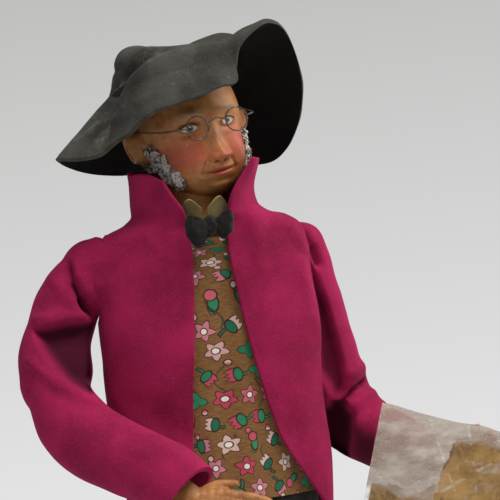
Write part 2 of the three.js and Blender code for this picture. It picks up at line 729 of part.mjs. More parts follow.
const WHISKER_SIZE = [4.4, 5.2, 8.4];
const WHISKER_LEAN = 0.35;
const whiskerPlace = (side) => [side * (HEAD_HALF_WIDTH - 5.2), -5.2, EYE_LEVEL - 11.8];
const NAPE_SIZE = [13, 6, 7];
const NAPE_PLACE = [0, HEAD_HALF_DEPTH - 2.5, EYE_LEVEL - 3.8];
add("whiskers_right", mohair(WHISKER_SIZE, whiskerPlace(-1), WHISKER_LEAN), MOHAIR, headGroup);
add("whiskers_left", mohair(WHISKER_SIZE, whiskerPlace(1), WHISKER_LEAN), MOHAIR, headGroup);
add("hair_back", mohair(NAPE_SIZE, NAPE_PLACE, 0), MOHAIR, headGroup);

// Spectacles: two wire rims, a bridge over the nose and temples to the ears
const RIM = 4.6;
const RIM_WIRE = 0.5;
const RIM_FRONT = -(HEAD_HALF_DEPTH + 1.8);

function spectacles() {
  const pieces = [];
  for (const side of [-1, 1]) {
    const rim = new THREE.TorusGeometry(RIM, RIM_WIRE, 5, 18).rotateX(Math.PI / 2);
    pieces.push(welded(rim).translate(side * EYE_SPREAD, RIM_FRONT, EYE_LEVEL));
    const hinge = new THREE.Vector3(side * (EYE_SPREAD + RIM), RIM_FRONT, EYE_LEVEL + 0.5);
    const bend = new THREE.Vector3(side * (HEAD_HALF_WIDTH - 0.6), -10, EYE_LEVEL + 1);
    const ear = new THREE.Vector3(side * (HEAD_HALF_WIDTH + 1.4), 1, EYE_LEVEL + 2.4);
    pieces.push(wire([hinge, bend, ear], RIM_WIRE));
  }
  const start = EYE_SPREAD - RIM;
  const bridge = [
    new THREE.Vector3(-start, RIM_FRONT, EYE_LEVEL + 0.6),
    new THREE.Vector3(0, RIM_FRONT - 1, EYE_LEVEL + 1.8),
    new THREE.Vector3(start, RIM_FRONT, EYE_LEVEL + 0.6),
  ];
  pieces.push(wire(bridge, RIM_WIRE));
  return joined(...pieces);
}

add("spectacles", spectacles(), STEEL, headGroup);

// Hat: a soft crown over the skull and a wide brim, low on the right of the doll and flung up on its left
const HAT_CENTRE = new THREE.Vector3(-0.5, 2.5, NECK + HEAD_TOP - HAT_SINK);
const hatAxis = new THREE.Vector3(-HAT_SIDE_SLOPE, HAT_BACK_SLOPE, 1).normalize();

function hatCrown() {
  const inner = HAT_HALF_WIDTH - FELT;
  const points = [
    [0, CROWN_HEIGHT - 1.6],
    [HAT_HALF_WIDTH * 0.45, CROWN_HEIGHT],
    [HAT_HALF_WIDTH * 0.78, CROWN_HEIGHT - 2],
    [HAT_HALF_WIDTH * 0.95, CROWN_HEIGHT - 7],
    [HAT_HALF_WIDTH, -FELT / 2],
    [inner, -FELT / 2],
    [inner * 0.945, CROWN_HEIGHT - 7.4],
    [inner * 0.76, CROWN_HEIGHT - 3.9],
    [inner * 0.44, CROWN_HEIGHT - FELT],
    [0, CROWN_HEIGHT - 1.6 - FELT],
  ];
  const crown = turned(points, 28).scale(1, HAT_HALF_DEPTH / HAT_HALF_WIDTH, 1);
  const p = crown.attributes.position;
  for (let i = 0; i < p.count; i++) {
    const front = THREE.MathUtils.smoothstep(-p.getY(i), 0, 20);
    const left = THREE.MathUtils.smoothstep(p.getX(i), 6, 24);
    const slump = (Math.max(p.getZ(i), 0) / CROWN_HEIGHT) * (3.2 * front + 0.8 * left);
    p.setZ(i, p.getZ(i) - slump);
  }
  return along(crown, HAT_CENTRE, hatAxis);
}

// The edge of the brim: turn from the doll's left, distance from the hat's middle, height from the brim's root
const BRIM_EDGE = [
  [3, 44.2, -2.2],
  [16, 45, -15.5],
  [31, 43.7, -26],
  [45, 43, -28],
  [84, 41, -23.5],
  [128, 33, -26.5],
  [166, 39.5, -23],
  [189, 45.5, -18.5],
  [229, 33, -11],
  [262, 32, -4],
  [284, 31, -1.6],
  [297, 30.4, -0.2],
  [304, 28.8, 6.3],
  [310, 28.4, 12.4],
  [320, 29.2, 17.6],
  [335, 32.5, 21.3],
  [345, 36.9, 20.5],
  [355, 40.9, 13.2],
];

// The brim leaves the crown higher up where it is flung up
const rootRise = (angle) => 9 * Math.exp(-(((angle + 0.35) / 0.7) ** 2));

function hatBrim() {
  const edge = new THREE.CatmullRomCurve3(
    BRIM_EDGE.map(([turn, reachOut, height]) => {
      const angle = THREE.MathUtils.degToRad(turn);
      const out = new THREE.Vector3(reachOut * Math.cos(angle), reachOut * Math.sin(angle), height);
      return out.add(HAT_CENTRE);
    }),
    true
  );
  const turn = new THREE.Quaternion().setFromUnitVectors(new THREE.Vector3(0, 0, 1), hatAxis);
  const back = turn.clone().invert();
  const face = (u, v) => {
    const outer = edge.getPoint(u);
    const local = outer.clone().sub(HAT_CENTRE).applyQuaternion(back);
    const angle = Math.atan2(local.y / HAT_HALF_DEPTH, local.x / HAT_HALF_WIDTH);
    const ring = (grow) => {
      const x = (HAT_HALF_WIDTH + grow) * Math.cos(angle);
      const y = (HAT_HALF_DEPTH + grow) * Math.sin(angle);
      return new THREE.Vector3(x, y, FELT / 2 + rootRise(angle)).applyQuaternion(turn).add(HAT_CENTRE);
    };
    const start = ring(GAP);
    const swell = ring(GAP + (0.14 + 0.11 * Math.cos(angle)) * Math.max(outer.distanceTo(start), 4));
    const point = start.multiplyScalar((1 - v) ** 2);
    return point.addScaledVector(swell, 2 * v * (1 - v)).addScaledVector(outer, v * v);
  };
  return cloth((u, v) => face(1 - u, v), FELT, 54, 4, true);
}

add("hat_crown", hatCrown(), CHARCOAL);
add("hat_brim", hatBrim(), CHARCOAL);

// Arms: a felt sleeve, its stuffing and the wire in it, above and below each elbow
function sleeve(girth, stops, length) {
  const radius = girth(0)[0];
  const rows = [...stops, length].map((t) => [girth(t)[0], t]);
  const lining = rows.map(([r, t]) => [r - FELT, t]).reverse();
  return turned([...arc(radius, -Math.PI / 2, 0, 3), ...rows, ...lining, ...arc(radius - FELT, 0, -Math.PI / 2, 3)], 14);
}

function stuffing(radius, end, length, stops = []) {
  const drop = -Math.sqrt(radius * radius - BORE * BORE);
  const low = Math.asin(drop / radius);
  const rows = stops.map((t) => [radius + ((end - radius) * t) / length, t]);
  const bore = [0, ...stops].map((t) => [BORE, t]).reverse();
  return turned([...arc(radius, low, 0, 3), ...rows, [end, length], [BORE, length], ...bore, [BORE, drop]], 12);
}

function rod(from, stops, to) {
  return turned([[0, from], [WIRE, from], ...stops.map((t) => [WIRE, t]), [WIRE, to], [0, to]], 8);
}

const WRIST_STUB = 14;

function buildArm(name, arm) {
  const { shoulder, upper, elbow, fore, flex, upperLength, foreLength, shape, upperBow } = arm;
  const lining = FELT + GAP;
  const axis = upper.clone().cross(fore).normalize();
  const elbowRooms = [0, flex].map((angle) => {
    const turn = THREE.MathUtils.degToRad(angle);
    return room(elbow, fore.clone().applyAxisAngle(axis, turn), 30, SLEEVE_ELBOW + GAP);
  });

  const wireEnd = upperLength - SLEEVE_ELBOW - 1.5;
  const upperStops = [0.2 * upperLength, 0.42 * upperLength, wireEnd, 0.85 * upperLength];
  const upperGirth = profile([[0, SLEEVE_TOP], [upperLength * 0.55, SLEEVE_MIDDLE], [upperLength, SLEEVE_ELBOW]]);
  const upperForm = (form) => bowed(along(form, shoulder, upper), shoulder, upper, upperLength, upperBow);
  const upperSleeve = upperForm(sleeve(upperGirth, upperStops, upperLength - 1));
  add(`${name}_upper_sleeve`, cutBy(upperSleeve, ...elbowRooms), MAGENTA);
  const upperPadding = stuffing(SLEEVE_TOP - lining, SLEEVE_MIDDLE - lining, upperLength - 1, upperStops);
  add(`${name}_upper_arm`, cutBy(upperForm(upperPadding), ...elbowRooms), CALICO);
  add(`${name}_upper_arm_wire`, upperForm(rod(-6, [0, ...upperStops.slice(0, 2)], wireEnd)), STEEL);

  const cuffEnd = foreLength - CUFF_SHORT;
  const stuffed = foreLength - WRIST_STUB - GAP;
  const foreStops = [...STOPS, 1].map((s) => s * stuffed);
  const foreGirth = profile([[0, SLEEVE_ELBOW], [stuffed * 0.5, shape.foreMiddle], [cuffEnd, shape.cuff]]);
  const foreBow = away(fore, upper, shape.foreBow);
  const foreForm = (form) => bowed(along(form, elbow, fore), elbow, fore, stuffed, foreBow);
  add(`${name}_lower_sleeve`, foreForm(sleeve(foreGirth, foreStops, cuffEnd)), MAGENTA);
  const padded = Math.min(SLEEVE_ELBOW, shape.foreMiddle, shape.cuff) - lining;
  const forePadding = stuffing(SLEEVE_ELBOW - lining, padded, stuffed, foreStops.slice(0, -1));
  add(`${name}_forearm`, foreForm(forePadding), CALICO);
  add(`${name}_forearm_wire`, foreForm(rod(-6, [0, ...foreStops], stuffed + 8)), STEEL);
}

const rightArm = { shoulder: RIGHT_SHOULDER, upper: RIGHT_UPPER, elbow: RIGHT_ELBOW, fore: RIGHT_FORE, flex: 0 };
const leftArm = { shoulder: LEFT_SHOULDER, upper: LEFT_UPPER, elbow: LEFT_ELBOW, fore: LEFT_FORE, flex: 30 };
const rightLengths = { upperLength: RIGHT_BEND, foreLength: RIGHT_FOREARM };
const leftLengths = { upperLength: LEFT_BEND, foreLength: LEFT_FOREARM };
buildArm("right", { ...rightArm, ...rightLengths, shape: RIGHT_SHAPE, upperBow: RIGHT_BOW });
buildArm("left", { ...leftArm, ...leftLengths, shape: LEFT_SHAPE, upperBow: LEFT_BOW });

// Hands: palm and wrist along +Z, back of the hand to +Y, thumb to +X
const WRIST_RADIUS = 4.4;

function ovalRing(halfX, halfY, z) {
  const ring = [];
  for (let i = 0; i < 10; i++) {
    const angle = (i / 10) * Math.PI * 2;
    ring.push(new THREE.Vector3(halfX * Math.cos(angle), halfY * Math.sin(angle), z));
  }
  return ring;
}

function hand(curl, thumbCurl) {
  const palmEnd = HAND_LENGTH * 0.48;
  const palm = loft([
    ovalRing(WRIST_RADIUS - 1, WRIST_RADIUS - 1, -WRIST_RADIUS),
    ovalRing(WRIST_RADIUS, WRIST_RADIUS - 0.4, -1),
    ovalRing(5.6, 3.6, 3),
    ovalRing(6.6, 3.2, palmEnd - 4),
    ovalRing(6.4, 2.5, palmEnd),
  ]);
  const pieces = [palm];
  const reachOf = [0.46, 0.53, 0.5, 0.4];
  for (let i = 0; i < 4; i++) {
    const x = 4.7 - i * 3.1;
    const long = HAND_LENGTH * reachOf[i];
    const points = [
      new THREE.Vector3(x * 0.94, 0.2, palmEnd - 3),
      new THREE.Vector3(x, -0.2 * curl, palmEnd + long * 0.4),
      new THREE.Vector3(x, -0.95 * curl, palmEnd + long * 0.75),
      new THREE.Vector3(x * 0.98, -2.4 * curl, palmEnd + long),
    ];
    pieces.push(taper(points, (t) => 1.85 - 0.45 * t, 6, 5));
  }
  const thumb = [
    new THREE.Vector3(3.6, -0.6, 1),
    new THREE.Vector3(7.4, -1.6 * thumbCurl, 5.5),
    new THREE.Vector3(8.9, -2.8 * thumbCurl, 11),
  ];
  pieces.push(taper(thumb, (t) => 2.2 - 0.6 * t, 6, 5));
  return joined(...pieces);
}

// A hand runs along one direction with its back toward another, its wrist stub bored for the forearm's wire
function placedHand(form, wrist, reaching, backward, fore) {
  const x = backward.clone().cross(reaching).normalize();
  const y = reaching.clone().cross(x);
  form.applyMatrix4(new THREE.Matrix4().makeBasis(x, y, reaching).setPosition(wrist));
  const stub = new THREE.CylinderGeometry(WRIST_RADIUS, WRIST_RADIUS, WRIST_STUB, 12).rotateX(Math.PI / 2);
  const bore = new THREE.CylinderGeometry(BORE, BORE, 20, 10).rotateX(Math.PI / 2);
  const back = fore.clone().negate();
  const placedStub = along(stub.translate(0, 0, WRIST_STUB / 2), wrist, back);
  return cutBy(joined(form, placedStub), along(bore.translate(0, 0, WRIST_STUB), wrist, back));
}

const RIGHT_BACK = new THREE.Vector3(-0.2, -1, 0.45);
const LEFT_BACK = new THREE.Vector3(0.4, 1, 0.2);
add("right_hand", placedHand(hand(1, 0.6), RIGHT_WRIST, RIGHT_REACH, RIGHT_BACK, RIGHT_FORE), SKIN);
add("left_hand", placedHand(hand(0.5, 0.4), LEFT_WRIST, LEFT_REACH, LEFT_BACK, LEFT_FORE), SKIN);

// Sheet in its clear pocket, hung before the left forearm and gently bowed
const POCKET = PAPER + 2 * FILM + 2 * 0.3;
const sheetGroup = new THREE.Group();
sheetGroup.position.copy(LEFT_WRIST).add(new THREE.Vector3(17, -13.4, 6.6));
sheetGroup.rotation.set(0.1, 0.3, -0.26, "ZYX");
doll.add(sheetGroup);

// A bowed sheet hung from its top edge, its middle over the hand
function sheetFace(inset, depth, above) {
  return (u, v) => {
    const x = -(SHEET_WIDTH - inset * 2) * 0.62 + u * (SHEET_WIDTH - inset * 2);
    const z = 6 + above - v * (SHEET_LENGTH - inset * 2 + above);
    const bow = 2.2 * Math.sin(x / 13) + 1.2 * Math.sin(z / 15 + x / 30);
    return new THREE.Vector3(x, bow + depth, z - inset);
  };
}

const pocketForm = cloth(sheetFace(0, 0, 0), POCKET, 8, 6);
const pocketRoom = cloth(sheetFace(1.2, FILM, 4), POCKET - 2 * FILM, 8, 6);
add("clear_sleeve", cutBy(pocketForm, pocketRoom), CLEAR, sheetGroup);
add("parchment", cloth(sheetFace(1.6, FILM + 0.3, 0), PAPER, 8, 6), VELLUM, sheetGroup);

// Legs: trouser leg, stuffing and wire from the hip, and a shoe on its sole
function soleOutline(grow, toe, heel) {
  const points = [];
  for (let i = 0; i < 20; i++) {
    const angle = (i / 20) * Math.PI * 2;
    const along01 = (1 - Math.cos(angle)) / 2;
    const width = SHOE_WIDTH / 2 + grow - 1.6 * along01 ** 2;
    const round = Math.sign(Math.sin(angle)) * Math.abs(Math.sin(angle)) ** 0.75;
    points.push(new THREE.Vector2(width * round, toe + (heel - toe) * along01));
  }
  return points;
}

const TOE = -SHOE_LENGTH * 0.66;
const HEEL = SHOE_LENGTH * 0.34;

function shoeUpper(hip) {
  const layers = [
    [SOLE + 0.3, 0, TOE + 0.4, HEEL - 0.4],
    [SOLE + 4, 0.2, TOE, HEEL],
    [SOLE + 7.5, -0.6, TOE + 3, HEEL],
    [SOLE + 10, -1.4, TOE + 9, HEEL - 0.8],
    [SOLE + 12.5, -1.8, TOE + 16.5, HEEL - 3],
  ];
  const rings = layers.map(([z, grow, toe, heel]) => {
    return soleOutline(grow, toe, heel).map((v) => new THREE.Vector3(v.x + hip.x, v.y, z));
  });
  for (const z of [SOLE + 16.5, ANKLE_TOP]) {
    rings.push(
      soleOutline(0, -1, 1).map((v, i) => {
        const angle = (i / 20) * Math.PI * 2;
        const y = -ANKLE_RADIUS * Math.cos(angle);
        return new THREE.Vector3(hip.x + ANKLE_RADIUS * Math.sin(angle), y, z);
      })
    );
  }
  const bore = new THREE.CylinderGeometry(BORE, BORE, 30, 10).rotateX(Math.PI / 2);
  return cutBy(loft(rings), bore.translate(hip.x, 0, SOLE + 6 + 15));
}

function buildLeg(name, hip) {
  const length = HIP_HEIGHT - HEM_HEIGHT;
  const wall = [...arc(THIGH, -Math.PI / 2, 0, 3), [THIGH - 1, length * 0.5], [HEM_RADIUS, length]];
  const inside = [[HEM_RADIUS - COTTON, length], [THIGH - 1 - COTTON, length * 0.5]];
  const legCloth = turned([...wall, ...inside, ...arc(THIGH - COTTON, 0, -Math.PI / 2, 3)], 16);
  add(`${name}_trouser_leg`, along(legCloth, hip, DOWN), BLACK_CLOTH);
  const lining = COTTON + GAP;
  const legLength = HIP_HEIGHT - ANKLE_TOP - GAP;
  const padding = stuffing(THIGH - lining, HEM_RADIUS - lining - 1.4, legLength);
  add(`${name}_leg`, along(padding, hip, DOWN), CALICO);
  const ends = [hip.clone().setZ(HIP_HEIGHT + 6), hip.clone().setZ(SOLE + 7)];
  add(`${name}_leg_wire`, wire(ends, WIRE), STEEL);
  add(`${name}_shoe`, shoeUpper(hip), SHOE_BLACK);
  const outline = new THREE.Shape(soleOutline(0.3, TOE - 0.2, HEEL + 0.2));
  const sole = new THREE.ExtrudeGeometry(outline, { depth: SOLE, bevelEnabled: false });
  add(`${name}_sole`, welded(sole).translate(hip.x, 0, 0), SHOE_BLACK);
}

buildLeg("right", RIGHT_HIP);
buildLeg("left", LEFT_HIP);

// The origin lies on the floor under the middle of the doll's reach
const extent = new THREE.Box3().setFromObject(doll, true);
const middle = extent.getCenter(new THREE.Vector3());
doll.position.set(-middle.x, -middle.y, 0);
doll.updateMatrixWorld(true);

export default doll;
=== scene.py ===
# %% [markdown]
# # A dressed composition doll
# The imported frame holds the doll's solids, bodies and joints. This lesson dresses that frame: felt coat and
# hat, printed waistcoat, painted head and hands, mohair whiskers and a brown sheet in a clear pocket.
# Lengths are in millimetres from the pit of the neck, because a dressmaker measures a figure from there,
# and one helper turns them into the frame's metres.

# %% frame
import json
import math

import bpy
import numpy as np
from mathutils import Euler, Matrix, Vector, noise


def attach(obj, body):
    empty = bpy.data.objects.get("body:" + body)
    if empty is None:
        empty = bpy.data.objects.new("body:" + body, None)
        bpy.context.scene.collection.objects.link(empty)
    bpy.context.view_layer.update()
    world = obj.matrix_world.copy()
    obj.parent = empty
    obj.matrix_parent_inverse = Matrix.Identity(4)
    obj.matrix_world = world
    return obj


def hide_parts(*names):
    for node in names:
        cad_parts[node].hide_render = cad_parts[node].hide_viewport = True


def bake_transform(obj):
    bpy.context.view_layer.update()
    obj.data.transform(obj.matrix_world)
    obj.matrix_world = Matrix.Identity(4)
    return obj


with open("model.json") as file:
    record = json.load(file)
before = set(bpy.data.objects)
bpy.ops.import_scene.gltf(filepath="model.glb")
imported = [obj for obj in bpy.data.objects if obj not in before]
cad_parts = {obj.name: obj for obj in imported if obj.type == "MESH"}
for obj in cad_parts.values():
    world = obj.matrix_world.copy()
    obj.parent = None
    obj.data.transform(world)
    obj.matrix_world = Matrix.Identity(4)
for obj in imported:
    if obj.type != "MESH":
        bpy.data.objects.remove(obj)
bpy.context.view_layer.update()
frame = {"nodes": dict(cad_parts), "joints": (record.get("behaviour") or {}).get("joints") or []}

MM = 0.001
joints = {joint["name"]: joint for joint in frame["joints"]}
PIT = np.array(joints["neck_turn"]["pos_m"])


def spot(points):
    """Millimetres from the neck pit as metres in the frame."""
    return PIT + np.asarray(points, float) * MM


def pivot(name):
    """A joint's place in millimetres from the neck pit."""
    return (np.array(joints[name]["pos_m"]) - PIT) / MM


FLOOR = -PIT[2] / MM

# %% [markdown]
# ## Camera
# The photograph looks almost level, a little from the doll's right, and the camera was rolled a few
# degrees. A long lens keeps the doll's proportions. The pit of the neck has to land on one pixel of the
# square frame, and the scale there sets the lens, so the camera is worked out from these instead of being
# moved by eye.

# %% camera
AZIMUTH, ELEVATION, ROLL = (math.radians(angle) for angle in (-12, 2, 6.5))
PHOTO = 500
PIT_PIXEL = (208, 235)
PIT_FRONT = 16
PIXEL = 0.34
DISTANCE = 950
SENSOR = 36

flat = math.cos(ELEVATION)
toward = Vector((math.sin(AZIMUTH) * flat, -math.cos(AZIMUTH) * flat, math.sin(ELEVATION)))
level = Vector((math.cos(AZIMUTH), math.sin(AZIMUTH), 0))
upright = toward.cross(level)
across = level * math.cos(ROLL) - upright * math.sin(ROLL)
above = level * math.sin(ROLL) + upright * math.cos(ROLL)
aim = Vector(spot((0, -PIT_FRONT, 0)))
aim += across * (PHOTO / 2 - PIT_PIXEL[0]) * PIXEL * MM
aim -= above * (PHOTO / 2 - PIT_PIXEL[1]) * PIXEL * MM

bpy.ops.object.camera_add()
camera = bpy.context.object
camera.matrix_world = Matrix((
    (across.x, above.x, toward.x, aim.x + toward.x * DISTANCE * MM),
    (across.y, above.y, toward.y, aim.y + toward.y * DISTANCE * MM),
    (across.z, above.z, toward.z, aim.z + toward.z * DISTANCE * MM),
    (0, 0, 0, 1),
))
camera.data.sensor_width = SENSOR
camera.data.lens = SENSOR * DISTANCE / (PHOTO * PIXEL)
bpy.context.scene.camera = camera
print("lens", round(camera.data.lens), "mm")

# %% [markdown]
# ## Finishes as expressions
# A finish is a small program of nodes. One class wraps a socket so that `1 - mask` or `a * b` adds the Math
# node by itself, and one method adds any other node. That keeps each finish short enough to read.

# %% shader kit
class Field:
    """A number that varies over a surface."""

    def __init__(self, finish, socket):
        self.finish = finish
        self.socket = socket

    def math(self, operation, *others):
        inputs = dict(enumerate([self, *others]))
        return self.finish.node("ShaderNodeMath", {"operation": operation}, inputs)

    def __add__(self, other):
        return self.math("ADD", other)

    def __sub__(self, other):
        return self.math("SUBTRACT", other)

    def __rsub__(self, other):
        return (self * -1) + other

    def __mul__(self, other):
        return self.math("MULTIPLY", other)

    def __truediv__(self, other):
        return self.math("DIVIDE", other)

    def __abs__(self):
        return self.math("ABSOLUTE")

    __radd__ = __add__
    __rmul__ = __mul__

    def least(self, other):
        return self.math("MINIMUM", other)

    def most(self, other):
        return self.math("MAXIMUM", other)

    def ramp(self, start, end, low=0.0, high=1.0):
        """Low before start, high after end, smooth between."""
        values = {"Value": self, "From Min": start, "From Max": end, "To Min": low, "To Max": high}
        return self.finish.node("ShaderNodeMapRange", {"interpolation_type": "SMOOTHSTEP"}, values)

    def inside(self, edge, soft):
        """One where the number is under the edge."""
        return self.ramp(edge - soft, edge + soft, 1.0, 0.0)


class Graph:
    """A tree of nodes, of a material or of the world."""

    def __init__(self, tree):
        self.tree = tree

    def node(self, kind, settings=None, inputs=None, out=0):
        made = self.tree.nodes.new(kind)
        for name, value in (settings or {}).items():
            setattr(made, name, value)
        for name, value in (inputs or {}).items():
            self.feed(made.inputs[name], value)
        return Field(self, made.outputs[out])

    def feed(self, socket, value):
        if isinstance(value, Field):
            self.tree.links.new(value.socket, socket)
        else:
            socket.default_value = value

    def coords(self, kind="Object"):
        return self.node("ShaderNodeTexCoord", out=kind)

    def mapped(self, vector, scale=(1, 1, 1), turn=(0, 0, 0), place=(0, 0, 0), kind="POINT"):
        inputs = {"Vector": vector, "Scale": scale, "Rotation": turn, "Location": place}
        return self.node("ShaderNodeMapping", {"vector_type": kind}, inputs)

    def parts(self, vector):
        node = self.tree.nodes.new("ShaderNodeSeparateXYZ")
        self.feed(node.inputs[0], vector)
        return [Field(self, output) for output in node.outputs]

    def joined(self, x, y, z=0.0):
        return self.node("ShaderNodeCombineXYZ", None, {0: x, 1: y, 2: z})

    def grain(self, vector, scale, detail=3, rough=0.55, twist=0.0):
        inputs = {"Vector": vector, "Scale": scale, "Detail": detail, "Roughness": rough, "Distortion": twist}
        return self.node("ShaderNodeTexNoise", {"noise_dimensions": "3D"}, inputs)

    def cells(self, vector, scale, feature="F1"):
        return self.node("ShaderNodeTexVoronoi", {"feature": feature}, {"Vector": vector, "Scale": scale})

    def chance(self, vector):
        return self.node("ShaderNodeTexWhiteNoise", {"noise_dimensions": "3D"}, {"Vector": vector})

    def mix(self, amount, low, high):
        """A colour between two, each a colour or another mix."""
        node = self.tree.nodes.new("ShaderNodeMix")
        node.data_type = "RGBA"
        self.feed(node.inputs["Factor"], amount)
        colours = [socket for socket in node.inputs if socket.type == "RGBA"]
        self.feed(colours[0], low)
        self.feed(colours[1], high)
        return Field(self, next(socket for socket in node.outputs if socket.type == "RGBA"))


class Finish(Graph):
    """A material with one main shader and the nodes that feed it."""

    def __init__(self, name, **constants):
        self.material = bpy.data.materials.new(name)
        self.material.use_nodes = True
        super().__init__(self.material.node_tree)
        self.surface = self.tree.nodes["Principled BSDF"]
        for socket, value in constants.items():
            self.surface.inputs[socket.replace("_", " ").title().replace("Ior", "IOR")].default_value = value

    def set(self, **fields):
        for name, field in fields.items():
            self.feed(self.surface.inputs[name.replace("_", " ").title()], field)

    def bump(self, height, depth, strength=1.0):
        inputs = {"Height": height, "Distance": depth * MM, "Strength": strength}
        self.set(normal=self.node("ShaderNodeBump", None, inputs))


def paint(red, green, blue):
    """A colour as a paint chart gives it, turned to the linear values that a renderer adds up."""
    straight = []
    for part in (red / 255, green / 255, blue / 255):
        straight.append(part / 12.92 if part <= 0.04045 else ((part + 0.055) / 1.055) ** 2.4)
    return (*straight, 1.0)


print("shader kit ready")

# %% [markdown]
# ## Felt
# Wool felt has no weave. Close up it is a mat of fibres that catch the light, with slightly darker and
# paler clouds where the dye took differently. Noise at two scales gives the mat, a stretched noise gives
# single fibres, and a constant sheen on the shader gives the soft bright edge that wool shows. Inside its
# folds the felt is given a painted shade, darker where a fold is deeper, so the finish reads how deep each
# fold is.

# %% felts
def felt(name, deep, main, bright, fold_shade, sheen, speck=None):
    made = Finish(name, roughness=0.95, sheen_weight=sheen, sheen_roughness=0.55, specular_ior_level=0.15)
    made.surface.inputs["Sheen Tint"].default_value = bright
    place = made.coords()
    mat = made.grain(place, 1500, 4, 0.7)
    clouds = made.grain(place, 55, 3, 0.6)
    fibre = made.grain(made.mapped(place, (500, 500, 4200), (0.5, 0.9, 0.3)), 1, 2, 0.6, 1.2)
    tone = made.mix(clouds.ramp(0.32, 0.7), deep, main)
    tone = made.mix(mat.ramp(0.5, 0.75) * 0.3 + fibre.ramp(0.58, 0.75) * 0.3, tone, bright)
    if speck:
        dust = made.grain(place, 42, 5, 0.75).ramp(0.5, 0.78)
        lint = made.grain(place, 900, 3, 0.7).ramp(0.64, 0.74) * made.grain(place, 110, 2).ramp(0.5, 0.62)
        # The pale speck is laid thicker toward minus x, so the hat is paler on the doll's right side.
        doll_right_share = made.parts(place)[0].ramp(-0.01, -0.04)
        tone = made.mix(dust * (doll_right_share * 0.3 + 0.24) + lint * 0.5, tone, speck)
    # Painted shade: the felt is painted darker inside its folds, the more the deeper each fold was pressed.
    fold = made.node("ShaderNodeAttribute", {"attribute_name": "fold"}, out=2)
    tone = made.mix(fold.ramp(0.1, 0.9) * 0.9, tone, fold_shade)
    made.set(base_color=tone)
    made.bump(mat * 0.7 + fibre * 0.5 + clouds * 1.2, 0.35, 0.55)
    return made.material


MAGENTA_FELT = felt(
    "magenta_felt", paint(128, 19, 58), paint(158, 28, 76), paint(190, 64, 114), paint(48, 10, 26), 0.3
)
HAT_FELT = felt(
    "dusty_hat_felt", paint(44, 43, 40), paint(72, 71, 66), paint(104, 101, 93), paint(26, 25, 23), 0.2,
    paint(168, 160, 142),
)
HAT_LINING = felt(
    "black_hat_underside", paint(9, 9, 8), paint(15, 15, 13), paint(30, 29, 27), paint(8, 8, 8), 0.08
)
print("felts", MAGENTA_FELT.name, HAT_FELT.name, HAT_LINING.name)

# %% [markdown]
# ## Plain cloth, paper and film
# Woven cloth is two sets of threads, so a pair of waves, one along and one up the cloth, gives the weave.
# Parchment is blotched, with small brown spots. The clear pocket is old film: see-through where it lies on
# the paper, hazy where it stands off, with a painted white highlight along its creases.

# %% plain cloth
def woven(name, deep, main, thread=0.45, sheen=0.1):
    made = Finish(name, roughness=0.9, sheen_weight=sheen, specular_ior_level=0.2)
    place = made.coords()
    x, y, z = made.parts(place)
    rate = 2 * math.pi / (thread * MM)
    weft = (z * rate).math("SINE") * 0.5 + 0.5
    warp = ((x + y) * rate).math("SINE") * 0.5 + 0.5
    wear = made.grain(place, 130, 4, 0.65)
    made.set(base_color=made.mix((weft * warp) * 0.6 + wear.ramp(0.35, 0.7) * 0.4, deep, main))
    made.bump(weft.most(warp) * 0.6 + wear, 0.12, 0.5)
    return made.material


BOW_CLOTH = woven("charcoal_bow_cloth", paint(12, 11, 9), paint(28, 25, 22), 0.5, 0.12)
TROUSER_CLOTH = woven("black_trouser_cloth", paint(17, 17, 16), paint(40, 38, 35), 0.55, 0.12)
SHIRT_CLOTH = woven("cream_shirt_cotton", paint(112, 98, 56), paint(176, 160, 108), 0.4)
CALICO = woven("calico", paint(176, 158, 122), paint(214, 198, 162), 0.6)


def aged_sheet():
    made = Finish("aged_parchment", roughness=0.82, specular_ior_level=0.25)
    place = made.coords()
    stain = made.grain(place, 70, 5, 0.65)
    mottle = made.grain(place, 420, 4, 0.7)
    tone = made.mix(stain.ramp(0.3, 0.68), paint(128, 90, 34), paint(184, 140, 66))
    tone = made.mix(mottle.ramp(0.45, 0.7) * 0.55, tone, paint(204, 166, 92))
    brown = made.cells(place, 260).inside(0.2, 0.12) * stain.ramp(0.5, 0.62, 1.0, 0.0)
    made.set(base_color=made.mix(brown * 0.6, tone, paint(92, 58, 22)))
    made.bump(mottle + stain * 2, 0.2, 0.5)
    return made.material


SHEET_LEFT, SHEET_RIGHT, SHEET_TOP, SHEET_BOTTOM = -37.2, 22.8, 6.0, -50.0
FILM_HIGHLIGHT_CREASES = [(-16, -2, 0.5, -0.87), (-22, -26, 0.83, -0.55), (-6, -14, 0.75, 0.66), (2, -22, 0.3, -0.95)]


